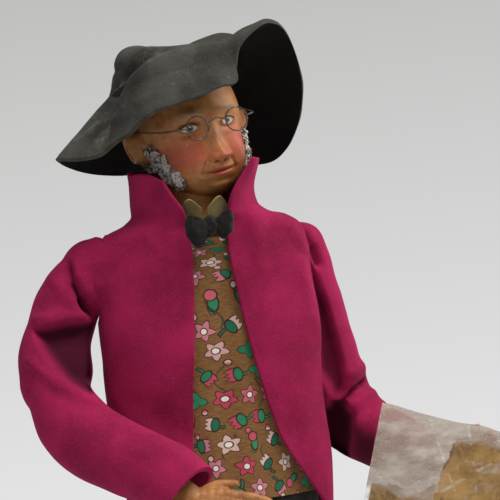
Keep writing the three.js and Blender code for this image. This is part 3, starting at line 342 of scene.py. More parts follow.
def old_film():
    """Film is clear on the paper, hazy where it stands off, with a painted highlight along its folds."""
    made = Finish("clear_pocket_film", roughness=0.2, specular_ior_level=0.6)
    place = made.coords()
    u, v, _ = made.parts(made.coords("UV"))
    x = u * (SHEET_LEFT - SHEET_RIGHT) + SHEET_RIGHT
    z = abs(v * 2 - 1) * (SHEET_TOP - SHEET_BOTTOM) + SHEET_BOTTOM
    haze = made.grain(made.mapped(place, (1, 1, 2.2), (0.2, 0.4, 0.6)), 85, 5, 0.65)
    ragged = made.grain(place, 260, 3, 0.6) * 7 - 3.5
    on_paper = ((x + ragged).ramp(-14.5, -9.2, -22.5, 0.4) - z + ragged * 0.3).ramp(-1.0, 1.5)
    scuff = made.grain(made.mapped(place, (60, 60, 900), (0.3, 0.5, 0.9)), 1, 3, 0.6)
    # Painted highlight: the film is painted whiter and more opaque along its creases.
    crease = 0.0
    for at_x, at_z, run_x, run_z in FILM_HIGHLIGHT_CREASES:
        crease = abs((x - at_x) * run_z - (z - at_z) * run_x).inside(0.4, 0.5) + crease
    crease = crease.least(1.0) * haze.ramp(0.46, 0.62) * 0.6
    tone = made.mix(haze.ramp(0.35, 0.7), paint(200, 181, 166), paint(228, 217, 205))
    made.set(base_color=made.mix(crease, tone, paint(236, 228, 214)))
    veil = haze.ramp(0.3, 0.75, 0.34, 0.6) * (1 - on_paper) + haze.ramp(0.5, 0.75, 0.05, 0.3) * on_paper
    made.set(alpha=(veil + scuff.ramp(0.66, 0.78) * 0.12 + crease * 0.4).least(1.0))
    made.bump(haze * 1.5 + scuff * 0.3, 0.4, 0.6)
    return made.material


PARCHMENT = aged_sheet()
FILM = old_film()
print("plain finishes", BOW_CLOTH.name, PARCHMENT.name, FILM.name)

# %% [markdown]
# ## The waistcoat's print
# The waistcoat is cotton with small pink flowers, green leaves and pale buds, drawn with a dark line on
# tan. Painting it by hand would need a picture, so the print is drawn in nodes instead: the cloth is cut
# into a staggered lattice, and chance picks a turn, a tone and one of four simple motifs for each place.
# Berries and thin vines fill the ground between them.

# %% print
def floral():
    made = Finish("floral_cotton", roughness=0.88, sheen_weight=0.08, specular_ior_level=0.2)
    u, v, _ = made.parts(made.coords("UV"))
    cell = 7.0
    row = (v / cell).math("FLOOR")
    slide = row.math("MODULO", 2.0) * (cell / 2)
    column = ((u + slide) / cell).math("FLOOR")
    pick, tone, turn, drift = (made.chance(made.joined(column, row, seed)) for seed in (1.0, 2.0, 3.0, 4.0))
    turn, drift = turn * 6.283, drift - 0.5
    x = (u + slide) - (column + 0.5) * cell + drift * 1.6
    y = v - (row + 0.5) * cell - drift * 1.2
    p = x * turn.math("COSINE") + y * turn.math("SINE")
    q = y * turn.math("COSINE") - x * turn.math("SINE")
    r = (p * p + q * q).math("SQRT")
    angle = q.math("ARCTAN2", p)
    soft = 0.09

    def oval(px, py, width, height):
        a = (p - px) / width
        b = (q - py) / height
        return ((a * a + b * b).math("SQRT") - 1) * min(width, height)

    def petals(count, low, high):
        wave = ((angle + math.pi) * (count / (2 * math.pi))).math("PINGPONG", 0.5)
        return r - (wave * (2 * (high - low)) + low)

    star = petals(5, 1.5, 3.0)
    eye = abs(r - 0.1) - 0.7
    mouth = q - 2.0 - (p + 9).math("PINGPONG", 0.6) * 1.7
    bell = oval(0, 1.2, 1.8, 2.6).most(0.2 - q).most(mouth)
    cap = oval(0, -0.1, 1.75, 1.1)
    bud = oval(0, 1.2, 1.25, 1.25)
    sepal = oval(0.4, -0.9, 0.95, 1.8)
    leaf = petals(3, 1.0, 2.9)
    stem = (abs(p - (q * 0.9).math("SINE") * 0.5) - 0.24).most(q - 0.2).most(-3.6 - q)

    is_star = pick.inside(0.38, 0.001)
    is_bell = pick.inside(0.68, 0.001) * (1 - is_star)
    is_bud = pick.inside(0.82, 0.001) * (1 - is_star) * (1 - is_bell)
    is_leaf = 1 - is_star - is_bell - is_bud

    ground = made.grain(made.joined(u * 0.4, v * 2.2, 0.0), 1.1, 3, 0.6)
    colour = made.mix(ground.ramp(0.3, 0.7), paint(112, 78, 44), paint(142, 102, 61))
    line = paint(58, 24, 28)
    rose = made.mix(tone.ramp(0.5, 0.65), paint(200, 124, 138), paint(188, 66, 90))
    pink = made.mix(tone.ramp(0.15, 0.3), paint(214, 186, 172), rose)
    pale = made.mix(tone.ramp(0.3, 0.7), paint(216, 194, 178), paint(194, 84, 100))
    green = made.mix(tone.ramp(0.2, 0.8), paint(20, 104, 76), paint(44, 138, 96))

    def motif(base, shape, chosen, fill):
        base = made.mix(shape.inside(0.32, soft) * chosen, base, line)
        return made.mix(shape.inside(0, soft) * chosen, base, fill)

    for shape, chosen, fill in (
        (stem, is_bell + is_bud, green), (star, is_star, pink), (eye, is_star, paint(238, 226, 212)),
        (bell, is_bell, pink), (cap, is_bell, green), (sepal, is_bud, green), (bud, is_bud, pale),
        (leaf, is_leaf, green),
    ):
        colour = motif(colour, shape, chosen, fill)

    half_row = (v / cell + 0.5).math("FLOOR")
    half_slide = (half_row + 1).math("MODULO", 2.0) * (cell / 2)
    half_column = ((u + half_slide) / cell + 0.25).math("FLOOR")
    chosen = made.chance(made.joined(half_column, half_row, 7.0)).inside(0.45, 0.001)
    side_x = (u + half_slide) - (half_column + 0.25) * cell
    side_y = v - half_row * cell
    berry = (side_x * side_x + side_y * side_y).math("SQRT") - 0.75
    colour = motif(colour, berry, chosen, pale)

    vine_u = (u + (v * 0.55).math("SINE") * 1.6).math("PINGPONG", cell * 0.75)
    vine = (vine_u - 0.17).most((v * 0.31 + u * 0.17).math("SINE") * -1 + 0.25)
    free = (1 - star.inside(0.4, 0.1) * is_star) * (1 - bell.inside(0.4, 0.1) * is_bell)
    free = free * (1 - bud.inside(0.4, 0.1) * is_bud) * (1 - leaf.inside(0.4, 0.1) * is_leaf)
    colour = made.mix(vine.inside(0.06, 0.1) * free * 0.9, colour, paint(40, 62, 42))

    weft = (v * 13.0).math("SINE") * 0.5 + 0.5
    warp = (u * 13.0).math("SINE") * 0.5 + 0.5
    colour = made.mix((weft * warp) * 0.16, colour, paint(96, 66, 40))
    made.set(base_color=colour)
    made.bump(weft.most(warp) + ground * 1.5, 0.08, 0.5)
    return made.material


FLORAL = floral()
print("print", FLORAL.name, len(FLORAL.node_tree.nodes), "nodes")

# %% [markdown]
# ## Bench tools
# Everything below is shaped the same way as at a bench: add a primitive, go into edit mode, run an operator
# on what is selected, leave, apply a modifier. These helpers only shorten those moves. `laid_cloth` takes a
# flat grid, as cloth comes off the roll, and lays it on a face that is given as a function of its two
# directions.

# %% bench
FELT = 1.8
COTTON = 0.8


def only(*pieces):
    bpy.ops.object.select_all(action="DESELECT")
    for piece in pieces:
        piece.select_set(True)
    bpy.context.view_layer.objects.active = pieces[0]


def named(name):
    piece = bpy.context.object
    piece.name = name
    piece.data.name = name
    return piece


def points_of(piece, what="co"):
    flat = np.empty(len(piece.data.vertices) * 3)
    piece.data.vertices.foreach_get(what, flat)
    return flat.reshape(-1, 3)


def lay(piece, points):
    piece.data.vertices.foreach_set("co", np.ascontiguousarray(points, float).ravel())
    piece.data.update()


def lift_out(piece, height):
    """Moves each point out along its normal, by its own height in metres."""
    lay(piece, points_of(piece) + points_of(piece, "normal") * height[:, None])


def copy_of(piece):
    """A copy with a mesh of its own."""
    copy = piece.copy()
    copy.data = piece.data.copy()
    bpy.context.collection.objects.link(copy)
    return copy


def in_edit(piece, *steps):
    only(piece)
    bpy.ops.object.mode_set(mode="EDIT")
    bpy.ops.mesh.select_all(action="SELECT")
    for step in steps:
        step()
    bpy.ops.object.mode_set(mode="OBJECT")


def weld():
    bpy.ops.mesh.remove_doubles(threshold=0.02 * MM)


def face_out():
    bpy.ops.mesh.normals_make_consistent(inside=False)


def modify(piece, kind, **settings):
    only(piece)
    modifier = piece.modifiers.new(kind.title(), kind)
    for name, value in settings.items():
        setattr(modifier, name, value)
    bpy.ops.object.modifier_apply(modifier=modifier.name)


def join(name, pieces):
    only(*pieces)
    bpy.ops.object.join()
    return named(name)


def settle(piece):
    only(piece)
    bpy.ops.object.transform_apply(location=True, rotation=True, scale=True)


def soften(piece, angle=50):
    only(piece)
    bpy.ops.object.shade_smooth_by_angle(angle=math.radians(angle))


def dress(piece, finish, slot, *nodes):
    piece.data.materials.clear()
    piece.data.materials.append(finish)
    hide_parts(*nodes)
    print(piece.name, len(piece.data.polygons), "faces")


def laid_cloth(name, face, across, up, wide=1.0, high=1.0):
    bpy.ops.mesh.primitive_grid_add(x_subdivisions=across, y_subdivisions=up, size=2)
    piece = named(name)
    flat = points_of(piece) / 2 + 0.5
    lay(piece, spot(face(flat[:, 0], flat[:, 1])))
    layer = piece.data.uv_layers.active.data
    cut = np.empty(len(layer) * 2)
    layer.foreach_get("uv", cut)
    layer.foreach_set("uv", (cut.reshape(-1, 2) * (wide, high)).ravel())
    return piece


def smooth(x, start, end):
    t = np.clip((x - start) / (end - start), 0, 1)
    return t * t * (3 - 2 * t)


def mound(x, width):
    """One at nought, falling away smoothly on both sides."""
    return np.exp(-((x / width) ** 2))


def unit(vector):
    vector = np.asarray(vector, float)
    return vector / np.linalg.norm(vector)


def xyz(x, y, z):
    """Points from their three coordinates."""
    return np.stack([x, y, z], -1)


def ripple(points, size, seed):
    """A soft unevenness between -1 and 1 at each point, as hands leave it."""
    shift = Vector((seed * 7.3, seed * 3.1, seed * 5.7))
    return np.array([noise.noise(Vector(p) / size + shift) for p in points])


def uneven(piece, size, seed, squash=1.0):
    """A ripple over a piece in waves of some millimetres. A squash under one makes them longer that way."""
    return ripple(points_of(piece) / MM * squash, size, seed)


print("bench ready")

# %% [markdown]
# ## Drawing folds where the photograph has them
# A simulation gives some folds, but not these folds. So folds are strokes, drawn in the photograph's own
# pixels: each point of the cloth that faces the camera is found in the frame, and moves out or in along its
# normal when a stroke passes near. Where strokes cross, the strongest counts. A hollow is an area with
# straight sides that sinks away from the camera, and a bridge brings two pieces forward so that the seam
# between them lies flat. How deep each fold is stays on the cloth for a painted shade in the folds. The
# cloth itself carries the fold, so it holds from every side.

# %% strokes
EYE = np.array(camera.location)
PIXELS_PER_TURN = camera.data.lens / SENSOR * PHOTO
DEEPEST = 8.5
NEIGHBOURS, MOST_FORWARD = 12, 4
LOOK = np.array(toward)


def in_photo(points):
    """Where points of the frame fall in the photograph, in pixels."""
    out = points - EYE
    depth = -(out @ LOOK)
    x = PHOTO / 2 + out @ np.array(across) / depth * PIXELS_PER_TURN
    y = PHOTO / 2 - out @ np.array(above) / depth * PIXELS_PER_TURN
    return np.stack([x, y], -1)


def note_fold_shade(piece, depth):
    """Keeps how deep the folds are, as a share of the deepest, for the painted shade in the folds."""
    layer = piece.data.attributes.get("fold") or piece.data.attributes.new("fold", "FLOAT", "POINT")
    kept = np.empty(len(piece.data.vertices))
    layer.data.foreach_get("value", kept)
    layer.data.foreach_set("value", np.clip(np.maximum(kept, depth / DEEPEST), 0, 1))


def press(piece, strokes, way=None):
    """Each stroke runs from one pixel to another, with a width in pixels and a height in millimetres.

    The cloth moves along its own normals, or else along the given way.
    """
    points = points_of(piece)
    normals = points_of(piece, "normal")
    seen = smooth(normals @ (LOOK if way is None else np.array(way)), -0.1, 0.35)
    at = in_photo(points)
    rise, fall = np.zeros((2, len(points)))
    for x0, y0, x1, y1, width, height in strokes:
        start, run = np.array((x0, y0)), np.array((x1 - x0, y1 - y0))
        t = np.clip(((at - start) @ run) / (run @ run), 0, 1)
        away = np.linalg.norm(at - start - t[:, None] * run, axis=1)
        mark = height * mound(away, width)
        rise, fall = np.maximum(rise, mark), np.minimum(fall, mark)
    moves = normals if way is None else np.array(way)
    lay(piece, points + moves * ((rise + fall) * seen * MM)[:, None])
    # The inward depth is kept for the felt's painted shade in the folds.
    note_fold_shade(piece, -fall * seen)


def sink(piece, corners, depth, soft, shade_depth=None):
    """Presses an area with straight sides away from the camera. Its corners are pixels, taken clockwise.

    The depth kept for the painted shade can be more than the depth itself, where the shade is darker.
    """
    points = points_of(piece)
    at = in_photo(points)
    inside = np.full(len(points), np.inf)
    for corner, following in zip(corners, [*corners[1:], corners[0]]):
        run = unit(np.subtract(following, corner))
        inside = np.minimum(inside, (at - corner) @ (-run[1], run[0]))
    share = smooth(inside, 0, soft)
    facing = points_of(piece, "normal") @ LOOK
    lay(piece, points - LOOK * (share * smooth(facing, 0.05, 0.5) * depth * MM)[:, None])
    # The kept depth sets how dark the painted shade in this hollow is.
    note_fold_shade(piece, share * smooth(facing, -0.1, 0.2) * (shade_depth or depth))


def bridge(arm, coat, rows):
    """Lays felt flat over a seam. A row is a height in pixels, then the flat's start, seam and end."""
    rows = np.array(rows, float)

    def nearest(piece, x, y):
        points = points_of(piece)
        close = np.argsort(np.linalg.norm(in_photo(points) - (x, y), axis=1))[:NEIGHBOURS]
        return (points[close] @ LOOK).max()

    near = [nearest(arm, row[1], row[0]) for row in rows]
    far = [nearest(coat, row[3], row[0]) for row in rows]
    for piece, own in ((arm, -1), (coat, 1)):
        points = points_of(piece)
        x, y = in_photo(points).T
        first, seam, last, low, high = (np.interp(y, rows[:, 0], row) for row in (*rows[:, 1:].T, near, far))
        t = np.clip((x - first) / (last - first), 0, 1)
        missing = np.clip(low + (high - low) * t - points @ LOOK, 0, MOST_FORWARD * MM)
        share = smooth(own * (x - seam), -3, -1) * smooth(x, first, first + 3) * smooth(-x, -last, 3 - last)
        share *= smooth(y, rows[0, 0], rows[0, 0] + 8) * smooth(-y, -rows[-1, 0], 8 - rows[-1, 0])
        share *= smooth(points_of(piece, "normal") @ LOOK, 0, 0.25)
        lay(piece, points + LOOK * (missing * share)[:, None])
        print(piece.name, "brought forward", round((missing * share).max() / MM, 2), "mm")


print("strokes drawn at", round(PIXELS_PER_TURN), "pixels a turn")

# %% [markdown]
# ## The figure under the clothes
# A pattern cutter keeps one table of the figure: half width, half depth and squareness at each height. The
# coat, the waistcoat and the trousers all follow it, each a layer further in, so that no layer cuts
# another.

# %% figure
def curve_through(rows):
    """A smooth curve through rows of height and values that never swings past them."""
    rows = np.array(rows, float)
    at, values = rows[:, 0], rows[:, 1:]
    step = np.diff(at)[:, None]
    slope = np.diff(values, axis=0) / step
    both = slope[:-1] * slope[1:]
    total = slope[:-1] + slope[1:]
    middle = np.where(both > 0, 2 * both / np.where(total == 0, 1, total), 0)
    lean = np.vstack([slope[:1], middle, slope[-1:]])

    def value(height):
        x = np.clip(height, at[0], at[-1])
        i = np.clip(np.searchsorted(at, x) - 1, 0, len(at) - 2)
        s = ((x - at[i]) / step[i, 0])[:, None]
        start = values[i] * (1 + 2 * s) * (1 - s) ** 2 + lean[i] * step[i] * s * (1 - s) ** 2
        end = values[i + 1] * s * s * (3 - 2 * s) - lean[i + 1] * step[i] * s * s * (1 - s)
        return (start + end).T

    return value


figure = curve_through([
    [-148, 34.5, 21, 2.3], [-92, 35.5, 17.5, 2.4], [-62, 36.5, 16.4, 2.4], [-32, 38, 18, 2.4],
    [-14, 38, 18, 2.4], [-6, 37.4, 18, 2.3], [0, 35.5, 18, 2.3], [3.5, 31.5, 18.5, 2.2],
    [6, 25.2, 20.2, 2.1], [9, 22.6, 21.8, 2], [13, 23, 23, 2], [24, 24.2, 24.2, 2],
])
CLOTH_ROWS = [-148, -128, -108, -92, -77, -62, -47, -32, -14, -6, 0, 3.5, 6, 9, 13, 18, 24]


def body_at(angle, z, inset=0.0):
    """The figure's surface: the angle runs from the front to the doll's left."""
    half, depth, square = figure(z)
    s, c = np.sin(angle), np.cos(angle)
    corner = np.where(c > 0, square, 2)
    tuck = 11 * smooth(z, -14, 1) if inset else 0
    x = (half - inset - tuck) * np.sign(s) * np.abs(s) ** (2 / corner)
    y = -(depth - inset) * np.sign(c) * np.abs(c) ** (2 / corner)
    if not inset:
        x = x - 2.4 * mound(z - 14, 7) * smooth(s, 0, 1) + 1.9 * smooth(z, 8, 24) * smooth(-s, 0, 1)
        x = x - 2.0 * mound(z + 58, 20) * smooth(-s, 0.4, 1)
        x = x + 2.0 * mound(z + 80, 16) * smooth(s, 0.4, 1)
    return xyz(x, y, z)


def heights(v, bottom, top):
    rows = [bottom, *(row for row in CLOTH_ROWS if bottom + 1 < row < top - 1), top]
    return np.interp(v * (len(rows) - 1), range(len(rows)), rows)


print("chest", figure(np.array([-14.0]))[:2].ravel() * 2, "mm wide and deep")

# %% [markdown]
# ## Arms
# The sleeves are stuffed, so each is one padded form from the shoulder ball to the cuff. A swept tube would
# cut into itself at the bent elbow. Two turned forms are joined instead, each bowed as a soft arm hangs, a
# voxel remesh melts them into one skin and a smooth takes out the steps. Hollows and strokes are pressed
# in, and then the cuff is bisected off and hollowed.

# %% arm measures
SLEEVE_MIDDLE, CUFF_SHORT, WRIST_STUB = 11.4, 4, 14.4
CUFF_DEEP, ELBOW_SOFT, SLEEVE_VOXEL = 10, 11, 0.7
RIGHT_FORE, LEFT_FORE = unit((0.567, -0.511, -0.646)), unit((0.571, -0.624, -0.534))
RIGHT_SHOULDER, LEFT_SHOULDER = pivot("right_shoulder"), pivot("left_shoulder")
RIGHT_ELBOW, LEFT_ELBOW = pivot("right_elbow"), pivot("left_elbow")
RIGHT_WRIST, LEFT_WRIST = RIGHT_ELBOW + RIGHT_FORE * 66.5, LEFT_ELBOW + LEFT_FORE * 39.2
RIGHT_ARM = dict(
    ball=11.4, shift=(-0.8, 0, 0), low=13.4, elbow=12.2, upper_bow=4.5, fore_bow=7.2, middle=12.9, cuff=12.0
)
LEFT_ARM = dict(
    ball=9.5, shift=(-1.6, 0, -0.4), low=12.6, elbow=13, upper_bow=0.0, fore_bow=1.5, middle=11.6, cuff=10.2
)
RIGHT_LIMB = RIGHT_ARM, RIGHT_SHOULDER, RIGHT_ELBOW, RIGHT_WRIST
LEFT_LIMB = LEFT_ARM, LEFT_SHOULDER, LEFT_ELBOW, LEFT_WRIST


def bow_share(s):
    """How much of its bow a limb has at a share of its length, most in its first half."""
    return np.maximum(np.sin(np.pi * np.clip(s, 0, 1) ** 0.75), 0) ** 1.2


def away_from(along, other, size):
    """The way an elbow points, square to one half of the arm and away from the other."""
    return unit(other - (other @ along) * along) * size


def dome(radius, steps=8):
    turn = np.linspace(-math.pi / 2, 0, steps)
    return [(radius * math.cos(a), radius * math.sin(a)) for a in turn]


def turned_form(name, rows, start, direction, sides=36, bow=np.zeros(3), length=1.0):
    """A closed form of revolution: rows of radius and of distance along the direction."""
    rows = np.array(rows, float)
    axis = unit(direction)
    side = unit(np.cross(axis, (0.31, 0.95, 0.02)))
    other = np.cross(axis, side)

    def face(u, v):
        place = v * (len(rows) - 1)
        radius = np.interp(place, range(len(rows)), rows[:, 0])[:, None]
        run = np.interp(place, range(len(rows)), rows[:, 1])[:, None]
        turn = 2 * math.pi * u[:, None]
        middle = start + run * axis + bow_share(run / length) * bow
        return middle + radius * (np.cos(turn) * side + np.sin(turn) * other)

    piece = laid_cloth(name, face, sides, len(rows) - 1)
    in_edit(piece, weld, face_out)
    return piece


def girth_rows(table, end, spare=0.0, steps=16):
    runs = np.linspace(0, end, steps)[1:]
    return [(r + spare, t) for r, t in zip(curve_through(table)(runs)[0], runs)]


def upper_form(name, arm, shoulder, elbow, wrist, spare, sides=36):
    """The upper half of an arm, grown by a spare width."""
    upper, fore = unit(elbow - shoulder), unit(wrist - elbow)
    bend = np.linalg.norm(elbow - shoulder)
    table = [[0, arm["ball"]], [bend * 0.55, SLEEVE_MIDDLE], [bend * 0.85, arm["low"]], [bend, arm["elbow"]]]
    rows = dome(arm["ball"] + spare) + girth_rows(table, bend - 1, spare)
    rows += [(arm["elbow"] * 0.8, bend + 6), (0, bend + 9)]
    bow = away_from(upper, fore, -arm["upper_bow"])
    return turned_form(name, rows, shoulder + arm["shift"], upper, sides, bow, bend)


def sleeve(name, side, arm, shoulder, elbow, wrist, strokes, hollows):
    upper, fore = unit(elbow - shoulder), unit(wrist - elbow)
    cuff = np.linalg.norm(wrist - elbow) - CUFF_SHORT
    stuffed = np.linalg.norm(wrist - elbow) - WRIST_STUB
    table = [[0, arm["elbow"]], [stuffed * 0.5, arm["middle"]], [cuff, arm["cuff"]]]
    low = dome(arm["elbow"]) + girth_rows(table, cuff, 0, 24) + [(arm["cuff"], cuff + 4), (0, cuff + 4)]
    lower_form = turned_form("low", low, elbow, fore, 36, away_from(fore, upper, arm["fore_bow"]), stuffed)
    piece = join(name, [upper_form("top", arm, shoulder, elbow, wrist, 0), lower_form])
    modify(piece, "REMESH", mode="VOXEL", voxel_size=SLEEVE_VOXEL * MM)
    modify(piece, "SMOOTH", factor=0.5, iterations=24)
    for hollow in hollows:
        sink(piece, *hollow)
    press(piece, strokes)
    lift_out(piece, uneven(piece, 9, side) * 0.45 * MM)
    modify(piece, "SMOOTH", factor=0.5, iterations=3)
    edge = spot(elbow + fore * cuff)
    inward = tuple(-fore * CUFF_DEEP * MM)
    in_edit(
        piece,
        lambda: bpy.ops.mesh.bisect(plane_co=edge, plane_no=fore, use_fill=True, clear_outer=True),
        lambda: bpy.ops.mesh.inset(thickness=FELT * MM),
        lambda: bpy.ops.mesh.extrude_region_move(TRANSFORM_OT_translate={"value": inward}),
    )
    soften(piece, 55)
    which = "right" if side < 0 else "left"
    nodes = [f"{which}_{part}" for part in ("upper_sleeve", "lower_sleeve", "upper_arm", "forearm")]
    dress(piece, MAGENTA_FELT, "magenta_felt", *nodes)
    turn = unit(upper + fore)
    start, end = spot(elbow - turn * ELBOW_SOFT), spot(elbow + turn * ELBOW_SOFT)
    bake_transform(piece)
    return piece


# %% sleeves
RIGHT_FOLDS = [
    (67, 264, 72, 282, 3.5, -3.4), (72, 282, 84, 300, 4, -5.0), (84, 300, 94, 315, 5, -7.0),
    (54, 280, 78, 312, 7, 1.2), (38, 319, 88, 314, 6, 1.6), (30, 362, 60, 386, 6, 1.4),
    (60, 386, 94, 404, 6, 1.8), (96, 405, 190, 462, 8, 0.8),
]
RIGHT_HOLLOW = [
    (29, 328), (62, 320), (100, 315), (104, 352), (101, 398), (88, 402), (67, 388), (48, 366), (33, 342),
]
LEFT_FOLDS = [
    (367, 381, 352, 393, 3.5, -4.0), (352, 393, 337, 404, 5, -4.0), (362, 366, 351, 372, 7, 1.4),
    (372, 394, 358, 404, 7, 1.6), (304, 233, 313, 248, 2.6, -1.5), (313, 248, 319, 264, 3.4, -3.0),
]
LEFT_INNER = [
    (306, 262), (314, 262), (331, 300), (342, 340), (352, 380),
    (349, 394), (334, 404), (314, 372), (307, 300),
]
LEFT_BEND = [(318, 404), (346, 400), (357, 412), (358, 436), (355, 462), (344, 466), (318, 446)]
# Painted shade: the cuff area sinks 1 mm but is painted dark as if 6.6 mm deep.
LEFT_CUFF_SHADE = [(338, 412), (362, 412), (392, 428), (392, 500), (338, 500)]
LEFT_HOLLOWS = [(LEFT_INNER, 5.0, 13), (LEFT_BEND, 8.2, 11), (LEFT_CUFF_SHADE, 1.0, 26, 6.6)]
right_sleeve = sleeve("right_sleeve", -1, *RIGHT_LIMB, RIGHT_FOLDS, [(RIGHT_HOLLOW, 7.5, 13)])
sleeve("left_sleeve", 1, *LEFT_LIMB, LEFT_FOLDS, LEFT_HOLLOWS)

# %% [markdown]
# ## Coat
# The tailcoat is three pieces of felt: two fronts that are cut away below the waist and a back with tails
# and a vent. The standing collar is cut in one with them, so there is no seam at the neck. Felt doesn't
# fray, and its edges stay raw. Each piece is laid on the figure, given its thickness inwards and cut out
# for the sleeves. A bowed arm sweeps wider as it lifts, so the back and the waistcoat are also cut out for
# the lifted arm. On the right the seam is laid flat, and the shoulder's ridge is raised a little into one
# line.

# %% coat
front_edge = curve_through([
    [-97, 25, 30.5], [-84, 17, 23.5], [-72, 13.5, 18], [-50, 11, 12.5], [-25, 8, 8.4], [-3, 6.3, 6.3],
    [8, 8, 8], [24, 15.5, 15.5],
])
FRONT_LENGTH, TAIL_LENGTH, COLLAR = 97, 148, 24
SIDE_SEAM = math.pi / 2 - 0.006
COAT_ROOM, UNDER_ROOM, LIFTS = 0.4, 2.2, (0.35, 0.7, 1.0)
RAW_EDGE = 0.35


def arm_rooms(spare):
    return [
        upper_form("right_room", *RIGHT_LIMB, spare, 48),
        upper_form("left_room", *LEFT_LIMB, spare, 48),
    ]


def lifted(room, joint, share):
    """A copy of an arm's room, turned about the shoulder by a share of what the joint allows."""
    copy = copy_of(room)
    place = Matrix.Translation(joint["pos_m"])
    turn = Matrix.Rotation(math.radians(joint["range_deg"][1] * share), 4, Vector(joint["axis"]))
    copy.data.transform(place @ turn @ place.inverted())
    return copy


def with_lifted(rooms):
    pairs = zip(rooms, ("right_shoulder", "left_shoulder"))
    return rooms + [lifted(room, joints[name], share) for room, name in pairs for share in LIFTS]


FRONT_ROOMS = arm_rooms(COAT_ROOM)
BACK_ROOMS = with_lifted(arm_rooms(COAT_ROOM))
UNDER_ROOMS = with_lifted(arm_rooms(UNDER_ROOM))


def cut_armholes(piece, rooms):
    for room in rooms:
        modify(piece, "BOOLEAN", operation="DIFFERENCE", object=room, solver="EXACT")


def thicken(piece):
    modify(piece, "SOLIDIFY", thickness=FELT * MM, offset=-1, use_even_offset=True)
    modify(piece, "BEVEL", width=RAW_EDGE * MM, segments=2, limit_method="ANGLE")


def coat_front(name, side, strokes):
    def face(u, v):
        z = heights(v, -FRONT_LENGTH, COLLAR)
        edge = front_edge(z)[1 if side > 0 else 0]
        half, _, square = figure(z)
        start = np.arcsin(np.clip(edge / half, 0, 1) ** (square / 2))
        away = u if side > 0 else 1 - u
        points = body_at(side * (start + away * (SIDE_SEAM - start)), z)
        tip = mound(away, 0.3) * smooth(z, 6, COLLAR)
        points[:, 0] += side * tip * (3.2 if side > 0 else 0.4)
        if side < 0:
            points[:, 2] -= (4.2 * mound(away, 0.4) + 1.4 * away ** 2) * smooth(z, 4, COLLAR)
        points[:, 1] -= tip * 0.8
        hem = mound(away, 0.35) * smooth(-z, 62, FRONT_LENGTH)
        points[:, 1] -= hem * 2.2
        return points

    piece = laid_cloth(name, face, 60, 120)
    press(piece, strokes)
    lift_out(piece, uneven(piece, 14, side + 4) * 0.55 * MM)
    thicken(piece)
    cut_armholes(piece, FRONT_ROOMS)
    soften(piece, 55)
    return piece


RIGHT_COAT_FOLDS = [
    (112, 226, 176, 238, 12, 0.6), (92, 262, 112, 300, 9, 0.9), (118, 330, 186, 352, 26, 0.8),
    (128, 400, 190, 440, 16, -1.2), (150, 180, 160, 230, 10, -0.8),
]
LEFT_COAT_FOLDS = [
    (252, 205, 262, 268, 9, 0.9), (300, 262, 322, 340, 7, 1.1), (262, 250, 290, 330, 16, -0.6),
    (300, 400, 330, 500, 12, 1.0), (290, 226, 306, 250, 6, 0.7),
]
right_front = coat_front("felt_right_front", -1, RIGHT_COAT_FOLDS)
RIGHT_SEAM = [
    (236, 86, 102.5, 120), (250, 88, 105.5, 122), (262, 90, 107.5, 124),
    (285, 93, 106, 124), (305, 97, 102.5, 120), (322, 97, 99, 116),
]
bridge(right_sleeve, right_front, RIGHT_SEAM)
RIDGE = [(96, 240, 101, 240, 4.5, 0.8)]
RIDGE_EDGE = [(102, 240, 105, 239, 3, 1.0)]
press(right_sleeve, RIDGE, above)
press(right_front, RIDGE_EDGE, above)
dress(right_front, MAGENTA_FELT, "magenta_felt", "coat_right_front")
left_front = coat_front("felt_left_front", 1, LEFT_COAT_FOLDS)
dress(left_front, MAGENTA_FELT, "magenta_felt", "coat_left_front")


# %% coat back
def back_face(u, v):
    z = heights(v, -TAIL_LENGTH, COLLAR)
    angle = math.pi / 2 + u * math.pi
    points = body_at(angle, z)
    flare = smooth(-z, 78, TAIL_LENGTH)
    points[:, 1] += flare * (0.9 * np.cos(angle * 8) + 0.5 * np.sin(angle * 3))
    points[:, 0] += flare * 0.8 * np.sin(angle * 7)
    return points


coat_back = laid_cloth("felt_coat_back", back_face, 110, 140)
lift_out(coat_back, uneven(coat_back, 16, 9) * 0.6 * MM)
thicken(coat_back)
cut_armholes(coat_back, BACK_ROOMS)
press(coat_back, RIDGE_EDGE, above)
bpy.ops.mesh.primitive_cube_add(size=1, location=spot((0, 20, -124)), scale=(1.4 * MM, 0.04, 0.052))
vent = named("vent")
settle(vent)
modify(coat_back, "BOOLEAN", operation="DIFFERENCE", object=vent, solver="EXACT")
soften(coat_back, 55)
dress(coat_back, MAGENTA_FELT, "magenta_felt", "coat_back")

for piece, width in ((right_front, 0.056), (left_front, 0.054)):
    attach(piece, "torso")
    width * 0.07
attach(coat_back, "torso")

# %% [markdown]
# ## Waistcoat
# Under the coat the doll wears a waistcoat of printed cotton, thin enough to show the soft body under it as
# a few slack folds. It is laid a layer further in than the coat. Its map is kept in millimetres of cloth,
# so the print keeps its size and turns with the cloth.

# %% waistcoat
WAISTCOAT_LENGTH, WAISTCOAT_INSET = 92, 2.6


def waistcoat(name, middle, node, strokes):
    def face(u, v):
        z = heights(v, -WAISTCOAT_LENGTH, -1)
        return body_at(middle + (u - 0.5) * (math.pi - 0.03), z, WAISTCOAT_INSET)

    piece = laid_cloth(name, face, 90, 90, 106.0, WAISTCOAT_LENGTH)
    press(piece, strokes)
    lift_out(piece, uneven(piece, 8, middle, (1, 1, 0.35)) * 0.35 * MM)
    modify(piece, "SOLIDIFY", thickness=COTTON * MM, offset=-1)
    cut_armholes(piece, UNDER_ROOMS)
    soften(piece, 55)
    dress(piece, FLORAL, "printed_cotton", node)
    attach(piece, "torso")


